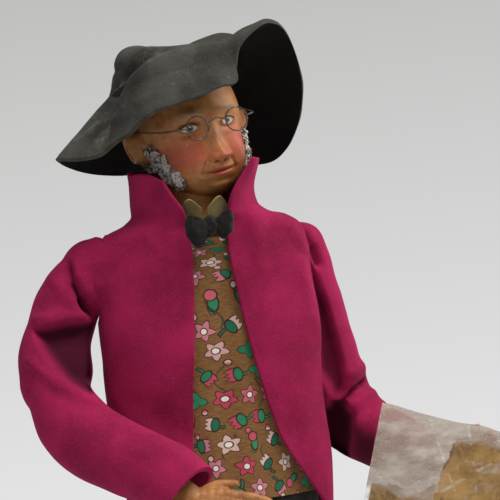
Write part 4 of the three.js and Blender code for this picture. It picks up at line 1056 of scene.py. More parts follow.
WAISTCOAT_FOLDS = [
    (226, 300, 222, 420, 8, -0.5), (242, 330, 250, 470, 9, 0.5), (210, 400, 214, 470, 7, 0.4),
    (262, 440, 280, 498, 8, -0.5),
]
waistcoat("print_waistcoat_front", 0.0, "waistcoat_front", WAISTCOAT_FOLDS)
waistcoat("print_waistcoat_back", math.pi, "waistcoat_back", [])
for cutter in (*FRONT_ROOMS, *BACK_ROOMS, *UNDER_ROOMS, vent):
    bpy.data.objects.remove(cutter)

# %% [markdown]
# ## Trousers and shoes
# Only a dark sliver of trousers shows beside the waistcoat's hem, so the rest is plain period tailoring:
# straight legs that break once over the shoe. Each leg is a tube of cloth, with its top held by the
# waistband. The shoes are painted black, a rounded upper on a flat sole.

# %% trousers
HIP = {"right": pivot("right_hip"), "left": pivot("left_hip")}
HEM, LEG_TOP, HIP_SOFT = FLOOR + 18, -88, 13
WAIST_LOW, WAIST_HIGH, WAIST_INSET, WAIST_THICK = -100, 14, 4.2, 0.6


def trouser_leg(name, side):
    hip = HIP[name]
    along_leg = curve_through([
        [HEM, 11.3, 11.6], [HEM + 7, 12.2, 12.6], [HEM + 16, 11.4, 11.6], [-150, 11.7, 11.8],
        [-126, 12.4, 12.2], [-110, 14.2, 12.9], [LEG_TOP, 15.2, 13.0],
    ])

    def face(u, v):
        z = HEM + v * (LEG_TOP - HEM)
        wide, deep = along_leg(z)
        turn = 2 * math.pi * u
        breaks = 0.55 * mound(z - HEM - 9, 7) * np.cos(turn * 2 + z * 0.7)
        knee = 0.4 * mound(z + 178, 16) * np.sin(turn * 3 + z * 0.45)
        crease = 0.7 * np.exp(-((np.sin(turn / 2) / 0.16) ** 2))
        middle = hip[0] + side * 0.6 * smooth(z, -128, -92)
        swell = 1 + (breaks + knee) / 12
        x = middle + wide * swell * np.sin(turn)
        y = -(deep * swell + crease * smooth(-z, 100, 125)) * np.cos(turn)
        return xyz(x, y, z)

    piece = laid_cloth(f"{name}_trouser_cloth", face, 72, 110)
    in_edit(piece, weld)
    modify(piece, "SOLIDIFY", thickness=COTTON * MM, offset=-1)
    soften(piece)
    dress(piece, TROUSER_CLOTH, "dark_cloth", f"{name}_trouser_leg")
    spot(hip + (0, 0, HIP_SOFT))
    spot(hip - (0, 0, HIP_SOFT))
    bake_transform(piece)


def waistband_face(u, v):
    angle = 2 * math.pi * u
    wave = xyz(0 * u, 0 * u, 0.3 * np.sin(angle * 3))
    return body_at(angle, WAIST_LOW + WAIST_HIGH * v, WAIST_INSET) - wave


waistband = laid_cloth("trouser_waistband", waistband_face, 100, 12)
in_edit(waistband, weld)
modify(waistband, "SOLIDIFY", thickness=WAIST_THICK * MM, offset=-1)
soften(waistband)
dress(waistband, TROUSER_CLOTH, "dark_cloth", "trouser_seat")
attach(waistband, "torso")
for name, side in (("right", -1), ("left", 1)):
    trouser_leg(name, side)


# %% shoes
def shoe_polish():
    made = Finish("painted_shoe_black", roughness=0.3, specular_ior_level=0.5, coat_weight=0.2)
    place = made.coords()
    wear = made.grain(place, 160, 5, 0.65)
    brush = made.grain(made.mapped(place, (700, 120, 700)), 1, 3, 0.6)
    tone = made.mix(brush.ramp(0.3, 0.7), paint(20, 18, 17), paint(40, 36, 33))
    made.set(base_color=made.mix(wear.ramp(0.62, 0.72) * 0.6, tone, paint(84, 68, 52)))
    made.set(roughness=wear.ramp(0.35, 0.7, 0.26, 0.5))
    made.bump(wear + brush * 0.5, 0.12, 0.35)
    return made.material


SHOE_BLACK = shoe_polish()
TOE, HEEL, SHOE_THICK = -27.1, 13.9, 1.2


def last_outline(turn, grow, toe, heel):
    """The outline of a shoe last, from the toe round the doll's left."""
    run = (1 - np.cos(turn)) / 2
    width = 7.75 + grow - 1.6 * run ** 2 - 0.5 * mound(run - 0.62, 0.2)
    x = width * np.sign(np.sin(turn)) * np.abs(np.sin(turn)) ** 0.75
    return x, toe + (heel - toe) * run


shoe_rows = curve_through([
    [0, 3.3, -0.5, TOE + 0.8, HEEL - 0.6], [1, 5, 0.1, TOE + 0.1, HEEL], [2, 7.4, 0.2, TOE + 0.4, HEEL],
    [3, 10, -0.4, TOE + 2.6, HEEL], [4, 13, -1.3, TOE + 9, HEEL - 0.8], [5, 16, -1.7, TOE + 16.5, HEEL - 2.6],
    [6, 20, -1.6, -6.6, 7.2], [7, 27, -1.5, -6.4, 6.4],
])


def shoe(name):
    hip = HIP[name]

    def face(u, v):
        turn = 2 * math.pi * u
        z, grow, toe, heel = shoe_rows(v * 7)
        x, y = last_outline(turn, grow, toe, heel)
        welt = 0.45 * np.exp(-(((y + 13 + (z - 3) * 0.4) / 0.7) ** 2)) * smooth(-y, 6, 14)
        return xyz(hip[0] + x, y, FLOOR + z + welt)

    piece = laid_cloth(f"{name}_shoe_upper", face, 80, 70)
    in_edit(piece, weld)
    modify(piece, "SOLIDIFY", thickness=SHOE_THICK * MM, offset=-1)
    soften(piece)
    dress(piece, SHOE_BLACK, "shoe_black", f"{name}_shoe")
    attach(piece, f"{name}_leg")

    def rim(u, v):
        turn = 2 * math.pi * u
        inset, z = np.array([(9, 0), (0.7, 0), (0.1, 0.6), (0.1, 2.5), (0.6, 3), (9, 3)]).T
        place = v * 5
        grow = 0.3 - np.interp(place, range(6), np.minimum(inset, 3))
        shrink = np.where(np.interp(place, range(6), inset) > 8, 0.0, 1.0)
        x, y = last_outline(turn, grow, TOE - 0.2 - grow + 0.3, HEEL + 0.2 + grow - 0.3)
        height = np.interp(place, range(6), z)
        arch = 0.9 * mound(y + 1, 5) * (height < 0.4)
        return xyz(hip[0] + x * shrink, y * shrink - 7 * (1 - shrink), FLOOR + height + arch)

    base = laid_cloth(f"{name}_shoe_sole", rim, 80, 20)
    in_edit(base, weld, face_out)
    soften(base, 40)
    dress(base, SHOE_BLACK, "shoe_black", f"{name}_sole")
    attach(base, f"{name}_leg")


for name in HIP:
    shoe(name)

# %% [markdown]
# ## Head
# The head is pressed composition with painted features. It starts as an icosphere, whose even triangles
# have no pole in the middle of the face. Rays from inside meet a skull and a jaw, blended, and the features
# are pushed out of that egg with smooth humps. The face is this lesson's own: calm, on a beginner's
# proportions, eyes at half height, nose at a quarter and mouth under it.

# %% head form
CHIN, HEAD_HEIGHT = 12, 50.6
EYE_LEVEL, NOSE_BASE, MOUTH = (CHIN + HEAD_HEIGHT * share for share in (0.5, 0.26, 0.18))
EYE_SPREAD = 7.36
RAY = np.array((0, -1, 33.0))
HEAD_ANGLES = (0, math.radians(-7), math.radians(12))
HEAD_TURN = np.array(Euler(HEAD_ANGLES, "XYZ").to_matrix())
HEAD_PLACE = np.array((2, 0, 33)) + HEAD_TURN @ (0, 0, -33)


def on_head(points):
    """From the head's own upright place to where it is worn, both from the neck pit."""
    return points @ HEAD_TURN.T + HEAD_PLACE


def reach(rays, middle, radii):
    d = rays / radii
    o = (RAY - middle) / radii
    b, a = d @ o, (d * d).sum(1)
    return (-b + np.sqrt(b * b - a * (o @ o - 1))) / a


def hump(a, b, wide, high):
    return np.exp(-((a / wide) ** 2) - (b / high) ** 2)


def egg(rays):
    skull = reach(rays, (0, 3, 40), (18.4, 21, 22.6))
    jaw = reach(rays, (0, -3.6, 26), (14.8, 14.4, 14))
    return RAY + rays * ((skull ** 14 + jaw ** 14) ** (1 / 14))[:, None]


def head_points(rays):
    points = egg(rays)
    x, y, z = points.T.copy()
    side = np.abs(x)
    run = (EYE_LEVEL + 2 - z) / (EYE_LEVEL + 2 - NOSE_BASE)
    nose = np.maximum(0, run) * (1 - smooth(run, 0.9, 1.16))
    push = 4.9 * nose * np.exp(-((x / (1.6 + 1.3 * nose)) ** 2))
    push += 1.0 * hump(x, z - NOSE_BASE - 1.9, 2.3, 2.0)
    push += 1.5 * hump(side - 2.9, z - NOSE_BASE - 1.2, 1.2, 1.4)
    push -= 1.1 * hump(side - 1.5, z - NOSE_BASE + 0.5, 0.8, 0.55)
    push += 1.2 * hump(side - 6.6, z - EYE_LEVEL - 5.0, 4.6, 1.7)
    push -= 2.0 * hump(side - EYE_SPREAD, z - EYE_LEVEL, 4.0, 2.9)
    almond = np.sqrt(((side - EYE_SPREAD) / 2.8) ** 2 + ((z - EYE_LEVEL) / 1.35) ** 2)
    push += 1.3 * np.sqrt(np.clip(1 - (almond / 1.25) ** 2, 0, 1))
    push += 0.75 * mound(almond - 1.12, 0.2) * np.where(z > EYE_LEVEL, 1.25, 0.6)
    push += 0.5 * hump(side - EYE_SPREAD, z - EYE_LEVEL + 3.6, 3.4, 0.9)
    push += 1.3 * hump(side - 9.4, z - NOSE_BASE - 3, 4.3, 3.8)
    push += 0.9 * hump(x, z - MOUTH - 1.0, 4.3, 0.95) * (1 - 0.25 * hump(x, 0, 0.9, 1))
    push += 1.1 * hump(x, z - MOUTH + 1.1, 3.8, 1.1)
    push -= 1.0 * hump(x, z - MOUTH - 0.05 - 0.012 * x * x, 4.9, 0.34)
    push -= 0.5 * hump(side - 5.6, z - MOUTH + 0.2, 0.9, 1.0)
    push -= 0.3 * hump(x, z - MOUTH - 2.9, 0.7, 1.0)
    push -= 0.7 * hump(x, z - MOUTH + 3.3, 3.4, 0.8)
    push += 1.4 * hump(x, z - CHIN - 3.5, 4.6, 3)
    fold = side - 4.6 - (NOSE_BASE + 0.5 - z) * 0.42
    smile = 0.55 * mound(fold, 0.8) * smooth(z, MOUTH - 1, MOUTH + 1)
    push -= smile * smooth(-z, -NOSE_BASE - 1, -NOSE_BASE + 1)
    brow = 0.25 * mound(z - 47.5, 0.5) + 0.2 * mound(z - 49.8, 0.5)
    push -= brow * mound(x, 9)
    points[:, 1] -= push * smooth(-y, 2, 12)
    shell = np.sqrt(((y - 3.9) / 3.3) ** 2 + ((z - EYE_LEVEL + 3) / 5.8) ** 2)
    ear = 4.6 * smooth(-shell, -1.15, -0.85) * (0.42 + 0.58 * smooth(shell, 0.35, 0.8))
    ear += 0.8 * hump(y - 1.6, z - EYE_LEVEL + 3.2, 0.9, 1.4)
    ear *= smooth(side, 10, 15)
    points[:, 0] += np.sign(x) * ear
    points[:, 1] += 0.5 * ear
    return points


bpy.ops.mesh.primitive_ico_sphere_add(subdivisions=7, radius=1)
head = named("painted_head")
rays = points_of(head)
rays /= np.linalg.norm(rays, axis=1)[:, None]
lay(head, spot(on_head(head_points(rays))))
NECK_ROWS = [
    (0, -7.4), (12.9, -7.4), (12.9, -5.1), (9.6, -5), (9.4, 0), (9.2, 8), (9.3, 14), (8, 21), (0, 22),
]
neck = turned_form("neck", NECK_ROWS, np.zeros(3), (0, 0, 1), 48)
modify(head, "BOOLEAN", operation="UNION", object=neck, solver="EXACT")
bpy.data.objects.remove(neck)
soften(head, 60)

# %% [markdown]
# ## Painted skin
# The painter laid a tan flesh coat, rouged the cheeks, reddened the lips and drew eyes and brows with a
# small brush. Age has worn the high places and left fine pale chips. The paint reads the head's own upright
# coordinates, which a Mapping node gets by undoing the head's turn, so each brush mark is placed by plain
# measures.

# %% skin
def flesh(name, with_face):
    made = Finish(name, roughness=0.5, specular_ior_level=0.35)
    world = made.coords()
    if with_face:
        place = made.mapped(world, (MM, MM, MM), HEAD_ANGLES, tuple(spot(HEAD_PLACE)), "TEXTURE")
    else:
        place = made.mapped(world, (1000, 1000, 1000))
    blotch = made.grain(place, 0.16, 4, 0.6)
    fine = made.grain(place, 0.9, 4, 0.65)
    tone = made.mix(blotch.ramp(0.3, 0.7), paint(148, 92, 48), paint(184, 127, 74))

    def brush(mask, *colour):
        nonlocal tone
        tone = made.mix(mask, tone, paint(*colour))

    brush(fine.ramp(0.5, 0.72) * 0.3, 200, 152, 98)
    brush(fine.ramp(0.5, 0.3) * 0.35, 118, 68, 40)
    if with_face:
        x, y, z = made.parts(place)
        side = abs(x)
        front = y.inside(-4, 4)

        def dab(aside, upward, wide, high, soft):
            a = aside / wide
            b = upward / high
            return (a * a + b * b).math("SQRT").inside(1, soft)

        rouge = dab(side - 9.6, z - 29, 6.4, 5.6, 0.75) * front
        brush(rouge * (blotch * 0.5 + 0.42), 176, 62, 50)
        tip = dab(x, z - 27, 3.2, 2.6, 0.8) * front
        brush(tip * 0.35, 182, 78, 58)
        lips = dab(x, z - 21.7, 4.3, 0.8, 0.3).most(dab(x, z - 20.4, 3.5, 0.85, 0.3)) * front
        brush(lips * (fine * 0.4 + 0.5), 164, 58, 56)
        part = dab(x, z - 21.15, 4.6, 0.24, 0.5) * front
        brush(part * 0.8, 96, 24, 28)
        white = dab(side - EYE_SPREAD, z - EYE_LEVEL, 2.5, 1.05, 0.16) * front
        rim = dab(side - EYE_SPREAD, z - EYE_LEVEL - 0.22, 3.0, 1.55, 0.2) * front
        brush(rim * 0.85, 84, 46, 32)
        brush(white, 190, 176, 154)
        iris = dab(side - EYE_SPREAD + 0.2, z - EYE_LEVEL - 0.1, 1.1, 1.1, 0.14) * white
        brush(iris, 70, 74, 74)
        pupil = dab(side - EYE_SPREAD + 0.2, z - EYE_LEVEL - 0.1, 0.55, 0.55, 0.18) * white
        brush(pupil, 16, 14, 14)
        shine = z - EYE_LEVEL - 0.6
        glint = dab(x - 7.7, shine, 0.22, 0.22, 0.3).most(dab(x + 7.0, shine, 0.22, 0.22, 0.3)) * white
        brush(glint, 235, 232, 226)
        arch = z - EYE_LEVEL - 5.0 - (side - 6.6) * (side - 6.6) * -0.03
        hairs = made.grain(made.mapped(place, (2.4, 1, 1.1), (0, 0.5, 0)), 1.6, 2, 0.6)
        brows = dab(side - 7.2, arch, 4.6, 0.95, 0.5) * hairs.ramp(0.36, 0.56) * front
        brush(brows * 0.85, 112, 98, 84)
        nostril = dab(side - 1.55, z - NOSE_BASE + 0.5, 0.85, 0.5, 0.5) * front
        brush(nostril * 0.8, 78, 32, 26)
        smile = side - 4.6 - (25.7 - z) * 0.42
        lines = (abs(smile).inside(0.4, 0.5)) * z.ramp(19.5, 21.5) * z.ramp(26.5, 24.5) * front
        brush(lines * 0.4, 120, 54, 38)
    chips = made.cells(place, 0.55).inside(0.2, 0.05) * blotch.ramp(0.55, 0.62) * fine.ramp(0.45, 0.5)
    brush(chips * 0.5, 206, 180, 148)
    made.set(base_color=tone)
    made.set(roughness=fine.ramp(0.3, 0.7, 0.4, 0.62))
    made.bump(fine * 0.8 + blotch + chips * -0.6, 0.14, 0.5)
    return made.material


dress(head, flesh("painted_face", True), "composition", "head")
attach(head, "head")
HAND_PAINT = flesh("painted_hand", False)

# %% [markdown]
# ## Mohair
# The side whiskers are a strip of mohair, glued on in tight black and white curls. One curl is a short coil
# of a few dozen faces. It is copied along the jaw with its own turn, and the copies are joined. Modelled
# locks hold from every side, where a hair system would not leave the file as a mesh.

# %% whiskers
def mohair():
    made = Finish("curled_mohair", roughness=0.7, sheen_weight=0.3, specular_ior_level=0.3)
    place = made.mapped(made.coords(), (1000, 1000, 1000))
    lock = made.grain(place, 0.42, 2, 0.5)
    strand = made.grain(place, 3.2, 3, 0.6)
    tone = made.mix(lock.ramp(0.4, 0.54), paint(52, 45, 42), paint(204, 195, 188))
    made.set(base_color=made.mix(strand.ramp(0.4, 0.7) * 0.5, tone, paint(226, 220, 214)))
    made.bump(strand, 0.15, 0.6)
    return made.material


MOHAIR = mohair()
dice = np.random.default_rng(11)


def bent_wire(points, radius, kind="NURBS", rounding=2):
    """A wire through points, as a mesh. Nurbs bend smoothly, and a poly line keeps its corners."""
    points = np.asarray(points, float)
    bpy.ops.curve.primitive_nurbs_path_add()
    run = bpy.context.object
    run.data.splines.clear()
    line = run.data.splines.new(kind)
    line.points.add(len(points) - 1)
    line.points.foreach_set("co", np.hstack([points, np.ones((len(points), 1))]).ravel())
    line.use_endpoint_u = True
    line.order_u = 3
    run.data.bevel_depth = radius
    run.data.bevel_resolution = rounding
    run.data.use_fill_caps = True
    bpy.ops.object.convert(target="MESH")
    return bpy.context.object


def one_curl():
    turn = np.linspace(0, 2.6 * math.pi, 13)
    size = np.linspace(1.0, 0.62, 13)
    coil = xyz(size * np.cos(turn), size * np.sin(turn), np.linspace(0, 1.5, 13))
    return bent_wire(coil, 0.24, "POLY", 0)


def curls(name, node, places, size):
    """A curl on the head at each ray, each with its own turn and size."""
    master = one_curl()
    at = egg(places)
    made = []
    for point, ray in zip(at, places):
        lock = copy_of(master)
        out = Vector(HEAD_TURN @ ray)
        turn = out.to_track_quat("Z", "Y").to_matrix().to_4x4()
        spin = Euler(dice.uniform(-0.9, 0.9, 2).tolist() + [dice.uniform(0, 6.28)]).to_matrix().to_4x4()
        grow = Matrix.Scale(size * dice.uniform(0.75, 1.25) * MM, 4)
        lift = on_head(point[None] + ray * dice.uniform(-0.2, 1.2))[0]
        lock.data.transform(Matrix.Translation(spot(lift)) @ turn @ spin @ grow)
        made.append(lock)
    bpy.data.objects.remove(master)
    piece = join(name, made)
    soften(piece, 80)
    dress(piece, MOHAIR, "mohair", node)
    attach(piece, "head")


def rays_to(points):
    rays = points - RAY
    return rays / np.linalg.norm(rays, axis=1)[:, None]


def jaw_strip(side, count):
    t = dice.uniform(0, 1, count)
    drift, wander = dice.normal(0, 0.55, (2, count))
    x = 18.5 - 5.0 * t ** 1.5
    y = -1.5 - 10.0 * t + drift * 2.4
    z = 30.0 - 12.0 * t + wander * 3.6 * (1 - 0.35 * t)
    return rays_to(xyz(side * x, y, z))


def nape_band(count):
    turn = dice.uniform(-1.15, 1.15, count)
    z = dice.uniform(24, 44, count)
    return rays_to(xyz(20 * np.sin(turn), 20 * np.cos(turn) + 1, z))


curls("curled_right_whiskers", "whiskers_right", jaw_strip(-1, 300), 0.9)
curls("curled_left_whiskers", "whiskers_left", jaw_strip(1, 300), 0.9)
curls("curled_nape_hair", "hair_back", nape_band(280), 1.35)

# %% [markdown]
# ## Spectacles
# Round spectacles of fine dark wire: two rims, a bridge and two temples. A torus is a rim already, and a
# temple is a bevelled curve through a few points, turned into a mesh.

# %% spectacles
def dark_wire(name, deep, bright):
    made = Finish(name, metallic=0.85, roughness=0.4)
    place = made.mapped(made.coords(), (1000, 1000, 1000))
    tarnish = made.grain(place, 1.1, 4, 0.65)
    made.set(base_color=made.mix(tarnish.ramp(0.35, 0.65), deep, bright))
    made.set(roughness=tarnish.ramp(0.3, 0.7, 0.3, 0.55))
    made.bump(tarnish, 0.05, 0.4)
    return made.material


SPECTACLE_WIRE = dark_wire("spectacle_wire", paint(46, 42, 40), paint(112, 104, 96))
ARMATURE_WIRE = dark_wire("armature_wire", paint(96, 94, 90), paint(158, 156, 150))
RIM_FRONT, RIM_REACH, RIM_RADIUS = -22.8, 3.9, 4.0
RIM_WIRE, TEMPLE_WIRE, BRIDGE_WIRE = 0.26, 0.27, 0.28
wires = []
for side in (-1, 1):
    bpy.ops.mesh.primitive_torus_add(
        location=(side * EYE_SPREAD, RIM_FRONT, EYE_LEVEL), rotation=(math.pi / 2, 0, 0),
        major_radius=RIM_RADIUS, minor_radius=RIM_WIRE, major_segments=56, minor_segments=10,
    )
    settle(bpy.context.object)
    wires.append(bpy.context.object)
    hinge = (side * (EYE_SPREAD + RIM_REACH), RIM_FRONT, EYE_LEVEL + 0.5)
    temple = [
        hinge, (side * 14.2, RIM_FRONT + 0.6, EYE_LEVEL + 0.7),
        (side * 17.6, -14, EYE_LEVEL + 1), (side * 19.2, -4, EYE_LEVEL + 2),
        (side * 19.8, 1, EYE_LEVEL + 2.2), (side * 19.6, 5, EYE_LEVEL - 0.5),
    ]
    wires.append(bent_wire(temple, TEMPLE_WIRE))
half = EYE_SPREAD - RIM_REACH
nose_wire = [
    (-half, RIM_FRONT, EYE_LEVEL + 0.6), (-1.4, RIM_FRONT - 0.9, EYE_LEVEL + 1.7),
    (0, RIM_FRONT - 1.3, EYE_LEVEL + 2), (1.4, RIM_FRONT - 0.9, EYE_LEVEL + 1.7),
    (half, RIM_FRONT, EYE_LEVEL + 0.6),
]
wires.append(bent_wire(nose_wire, BRIDGE_WIRE))
spectacles = join("wire_spectacles", wires)
lay(spectacles, spot(on_head(points_of(spectacles))))
soften(spectacles, 60)
dress(spectacles, SPECTACLE_WIRE, "soft_wire", "spectacles")
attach(spectacles, "head")

# %% [markdown]
# ## Hat
# The hat was blocked from one piece of felt: a soft crown, and a wide brim that hangs low on one side and
# is flung up on the other. One round grid gives both, from the brim's edge to the middle of the crown. Its
# two sides have their own finish: dusty charcoal above, and a black underside that Solidify gives by its
# material offset.

# %% hat
HAT_MIDDLE = np.array((-0.5, 2.5, 49.5))
HAT_AXIS = unit((-0.08, 0.28, 1))
HAT_TURN = np.array(Vector((0, 0, 1)).rotation_difference(Vector(HAT_AXIS)).to_matrix())
CROWN_HALF, CROWN_FOOT, CROWN_RISE = (24.4, 25.2), 0.9, 14.1
BRIM_SHARE, CROWN_SHARE = 0.55, 0.45
brim_rows = np.array([
    [3, 44.2, -2.2], [16, 45, -15.5], [31, 43.7, -26], [45, 43, -28], [84, 41, -23.5], [128, 33, -26.5],
    [166, 39.5, -23], [188.5, 46.0, -18.6], [198, 42.1, -19.4], [210, 38.3, -19.2], [221, 36.3, -15.8],
    [232, 35.0, -11.6], [243, 34.2, -7.2], [257, 33.0, -4.8], [271, 32, -2.8], [286, 31, -1.3],
    [297, 30.4, -0.2], [304, 28.8, 6.3], [310, 28.4, 12.0], [320, 29.2, 16.8], [335, 32.5, 20.2],
    [345, 36.9, 19.4], [355, 40.9, 12.6],
], float)


def brim_edge(u):
    """The brim's edge, a closed smooth curve through its measured points."""
    turn = np.radians(brim_rows[:, 0])
    rim = xyz(brim_rows[:, 1] * np.cos(turn), brim_rows[:, 1] * np.sin(turn), brim_rows[:, 2])
    count = len(rim)
    place = (u % 1) * count
    i = np.floor(place).astype(int) % count
    s = (place - np.floor(place))[:, None]
    a, b, c, d = rim[(i - 1) % count], rim[i], rim[(i + 1) % count], rim[(i + 2) % count]
    gap = [np.sqrt(np.linalg.norm(q - p, axis=1))[:, None] for p, q in ((a, b), (b, c), (c, d))]
    start = ((b - a) / gap[0] - (c - a) / (gap[0] + gap[1]) + (c - b) / gap[1]) * gap[1]
    end = ((c - b) / gap[1] - (d - b) / (gap[1] + gap[2]) + (d - c) / gap[2]) * gap[1]
    first = b * (1 + 2 * s) * (1 - s) ** 2 + start * s * (1 - s) ** 2
    return first + c * s * s * (3 - 2 * s) - end * s * s * (1 - s)


crown_rows = curve_through([
    [0, 1.0, 0.9], [0.14, 0.935, 2.4], [0.4, 0.905, 8.6], [0.58, 0.83, 12.0], [0.72, 0.68, 14.2],
    [0.86, 0.4, 15.0], [1, 0.0, 14.0],
])


def hat_form(u, v):
    """The hat as blocked, and each point's turn round the crown."""
    edge = brim_edge(u)
    flat = edge @ HAT_TURN
    turn = np.arctan2(flat[:, 1] / CROWN_HALF[1], flat[:, 0] / CROWN_HALF[0])
    rise = 9 * mound(turn + 0.35, 0.7)
    out = xyz(np.cos(turn), np.sin(turn), 0 * u)
    foot = xyz(0 * u, 0 * u, CROWN_FOOT + rise)
    ring = out * (CROWN_HALF[0] + 0.4, CROWN_HALF[1] + 0.4, 0) + foot
    root = ring @ HAT_TURN.T
    far = np.maximum(np.linalg.norm(edge - root, axis=1), 4)
    crest = xyz(0 * u, 0 * u, 5.0 * mound(turn + 0.68, 0.26))
    swell = (ring + crest + out * ((0.14 + 0.11 * np.cos(turn)) * far)[:, None]) @ HAT_TURN.T
    t = np.clip(1 - v / BRIM_SHARE, 0, 1)[:, None]
    brim = root * (1 - t) ** 2 + swell * 2 * t * (1 - t) + edge * t * t
    size, height = crown_rows(np.clip((v - BRIM_SHARE) / CROWN_SHARE, 0, 1))
    height = CROWN_FOOT + rise + (height - CROWN_FOOT) * (CROWN_RISE - rise) / CROWN_RISE
    leftward = np.exp(-((np.angle(np.exp(1j * (turn - math.pi))) / 0.8) ** 2))
    size = size * (1 - 0.15 * leftward * smooth(v, 0.58, 0.78))
    sideways = ring[:, :2] * size[:, None]
    slump = 3.2 * smooth(-sideways[:, 1], 0, 20) + 0.6 * smooth(sideways[:, 0], -10, 10)
    slump += 2.4 * mound(sideways[:, 0] - 3, 8)
    height -= slump * np.clip(height - CROWN_FOOT - rise, 0, 15) / 15
    height += 3.0 * hump(np.angle(np.exp(1j * (turn - math.radians(175)))), size - 0.58, 0.75, 0.24)
    crown = xyz(sideways[:, 0], sideways[:, 1], height) @ HAT_TURN.T
    points = np.where((v > BRIM_SHARE)[:, None], crown, brim)
    wave = 0.9 * np.sin(turn * 5 + 1.1) + 0.5 * np.sin(turn * 9 + 0.3)
    points[:, 2] += wave * t[:, 0] ** 1.5 * 0.5
    return points + HAT_MIDDLE, turn


def hat_face(u, v):
    """The hat as worn: in front the crown has sunk into the brim, and both are one slope."""
    points, turn = hat_form(u, v)
    low, high = 0.3, 0.8
    s = np.clip((v - low) / (high - low), 0, 1)[:, None]
    slope = hat_form(u, 0 * v + low)[0] * (1 - s) + hat_form(u, 0 * v + high)[0] * s
    slope += np.sin(np.pi * s) * (0, -1.2, 1.2)
    share = np.exp(-(((turn + 1.6) / 0.8) ** 4)) * smooth(v, low, low + 0.12) * smooth(-v, -high, 0.12 - high)
    return points + (slope - points) * share[:, None]


hat = laid_cloth("felt_hat", hat_face, 200, 120)
in_edit(hat, weld)
lift_out(hat, (uneven(hat, 11, 3) * 0.7 + uneven(hat, 4, 5) * 0.18) * MM)
press(hat, [
    (118, 98, 129, 76, 3.5, -2.8), (129, 76, 146, 60, 3.5, -2.8), (146, 60, 168, 50, 4, -1.8),
    (112, 84, 126, 60, 6, 0.8), (106, 80, 124, 70, 3, -1.4), (200, 42, 190, 74, 5, -1.0),
    (150, 100, 215, 82, 14, 0.6), (62, 158, 120, 120, 5, 0.5), (138, 112, 128, 138, 6, -0.8),
])
modify(hat, "SMOOTH", factor=0.4, iterations=4)
hat.data.materials.append(HAT_FELT)
hat.data.materials.append(HAT_LINING)
modify(hat, "SOLIDIFY", thickness=FELT * MM, offset=1, material_offset=1, material_offset_rim=0)
modify(hat, "BEVEL", width=0.3 * MM, segments=2, limit_method="ANGLE", angle_limit=math.radians(60))
soften(hat, 70)
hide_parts("hat_crown", "hat_brim")
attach(hat, "hat")
print(hat.name, len(hat.data.polygons), "faces")

# %% [markdown]
# ## Neck: shirt collar, drawstring and bow
# A cream collar with two points stands round the neck, and a soft dark cravat is tied over it. The collar
# is a bent strip. The bow's loops start as spheres that are pinched at the knot and pleated, as gathered
# ribbon is. The drawstring that closes the cloth body over the neck flange is a ring of twisted cord.

# %% collar
NECK_TOP = 1.0
SHIRT_RADIUS = 13.6


def collar_face(u, v):
    angle = 2 * math.pi - (0.06 + (1 - u) * (2 * math.pi - 0.12))
    point = np.exp(-(((np.minimum(u, 1 - u) - 0.042) / 0.036) ** 2))
    lean = v ** 2 * (1 + 2.4 * point)
    z = NECK_TOP + 0.4 + v * (6.6 + 5.0 * point)
    r = SHIRT_RADIUS + lean
    return xyz(-r * np.sin(angle), -r * np.cos(angle), z)


shirt_collar = laid_cloth("cotton_shirt_collar", collar_face, 120, 16)
modify(shirt_collar, "SOLIDIFY", thickness=COTTON * MM, offset=-1)
soften(shirt_collar)
dress(shirt_collar, SHIRT_CLOTH, "cream_cotton", "shirt_collar")
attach(shirt_collar, "torso")


def cord_face(u, v):
    around, over = 2 * math.pi * u, 2 * math.pi * v
    r = 0.9 * (1 + 0.16 * np.cos(over * 3 - around * 40))
    radius = 11.3 + r * np.cos(over)
    return xyz(radius * np.cos(around), radius * np.sin(around), NECK_TOP + 1.2 + r * np.sin(over))


drawstring = laid_cloth("twisted_drawstring", cord_face, 240, 12)
in_edit(drawstring, weld, face_out)
soften(drawstring)
dress(drawstring, SHIRT_CLOTH, "cream_cotton", "neck_drawstring")
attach(drawstring, "torso")

# %% bow
BAND_RADIUS, BOW_FRONT, BOW_HEIGHT = 16.0, -23.0, 3.0


def band_face(u, v):
    angle = 2 * math.pi * u
    pleat = 0.22 * np.sin(v * 3 * math.pi) + 0.12 * np.sin(angle * 9)
    z = NECK_TOP + 0.5 + v * 3.9 + 0.15 * np.sin(angle * 5)
    radius = BAND_RADIUS + pleat - 0.1
    return xyz(radius * np.sin(angle), -radius * np.cos(angle), z)


def bow_part(name, node, size, middle, side, pleats):
    """A gathered loop or knot: a sphere, pinched on the side of the knot and pleated."""
    bpy.ops.mesh.primitive_uv_sphere_add(segments=96, ring_count=56, radius=1)
    piece = named(name)
    x, y, z = points_of(piece).T
    out = (x * side + 1) / 2 if side else np.ones_like(x)
    pinch = 0.35 + 0.65 * np.sin(np.minimum(out * 1.25, 1) * math.pi / 2)
    turn = np.arctan2(z, y)
    pleat = 1 + (0.2 * np.cos(turn * pleats) + 0.08 * np.cos(turn * 11 + 1)) * (1.15 - out if side else 0.5)
    sag = 1 - 0.1 * np.cos(turn * 2 + 0.8 * side) * out
    points = xyz(x * size[0], y * size[1] * pinch * sag, z * size[2] * pinch * pleat)
    lean = np.array(Euler((0, 0.3 * side, 0)).to_matrix())
    points = points @ lean.T + middle
    lay(piece, spot(points))
    lift_out(piece, (ripple(points, 3.2, len(name)) * 0.8 + ripple(points, 1.6, 2) * 0.2) * MM)
    soften(piece, 70)
    dress(piece, BOW_CLOTH, "dark_cloth", node)
    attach(piece, "torso")


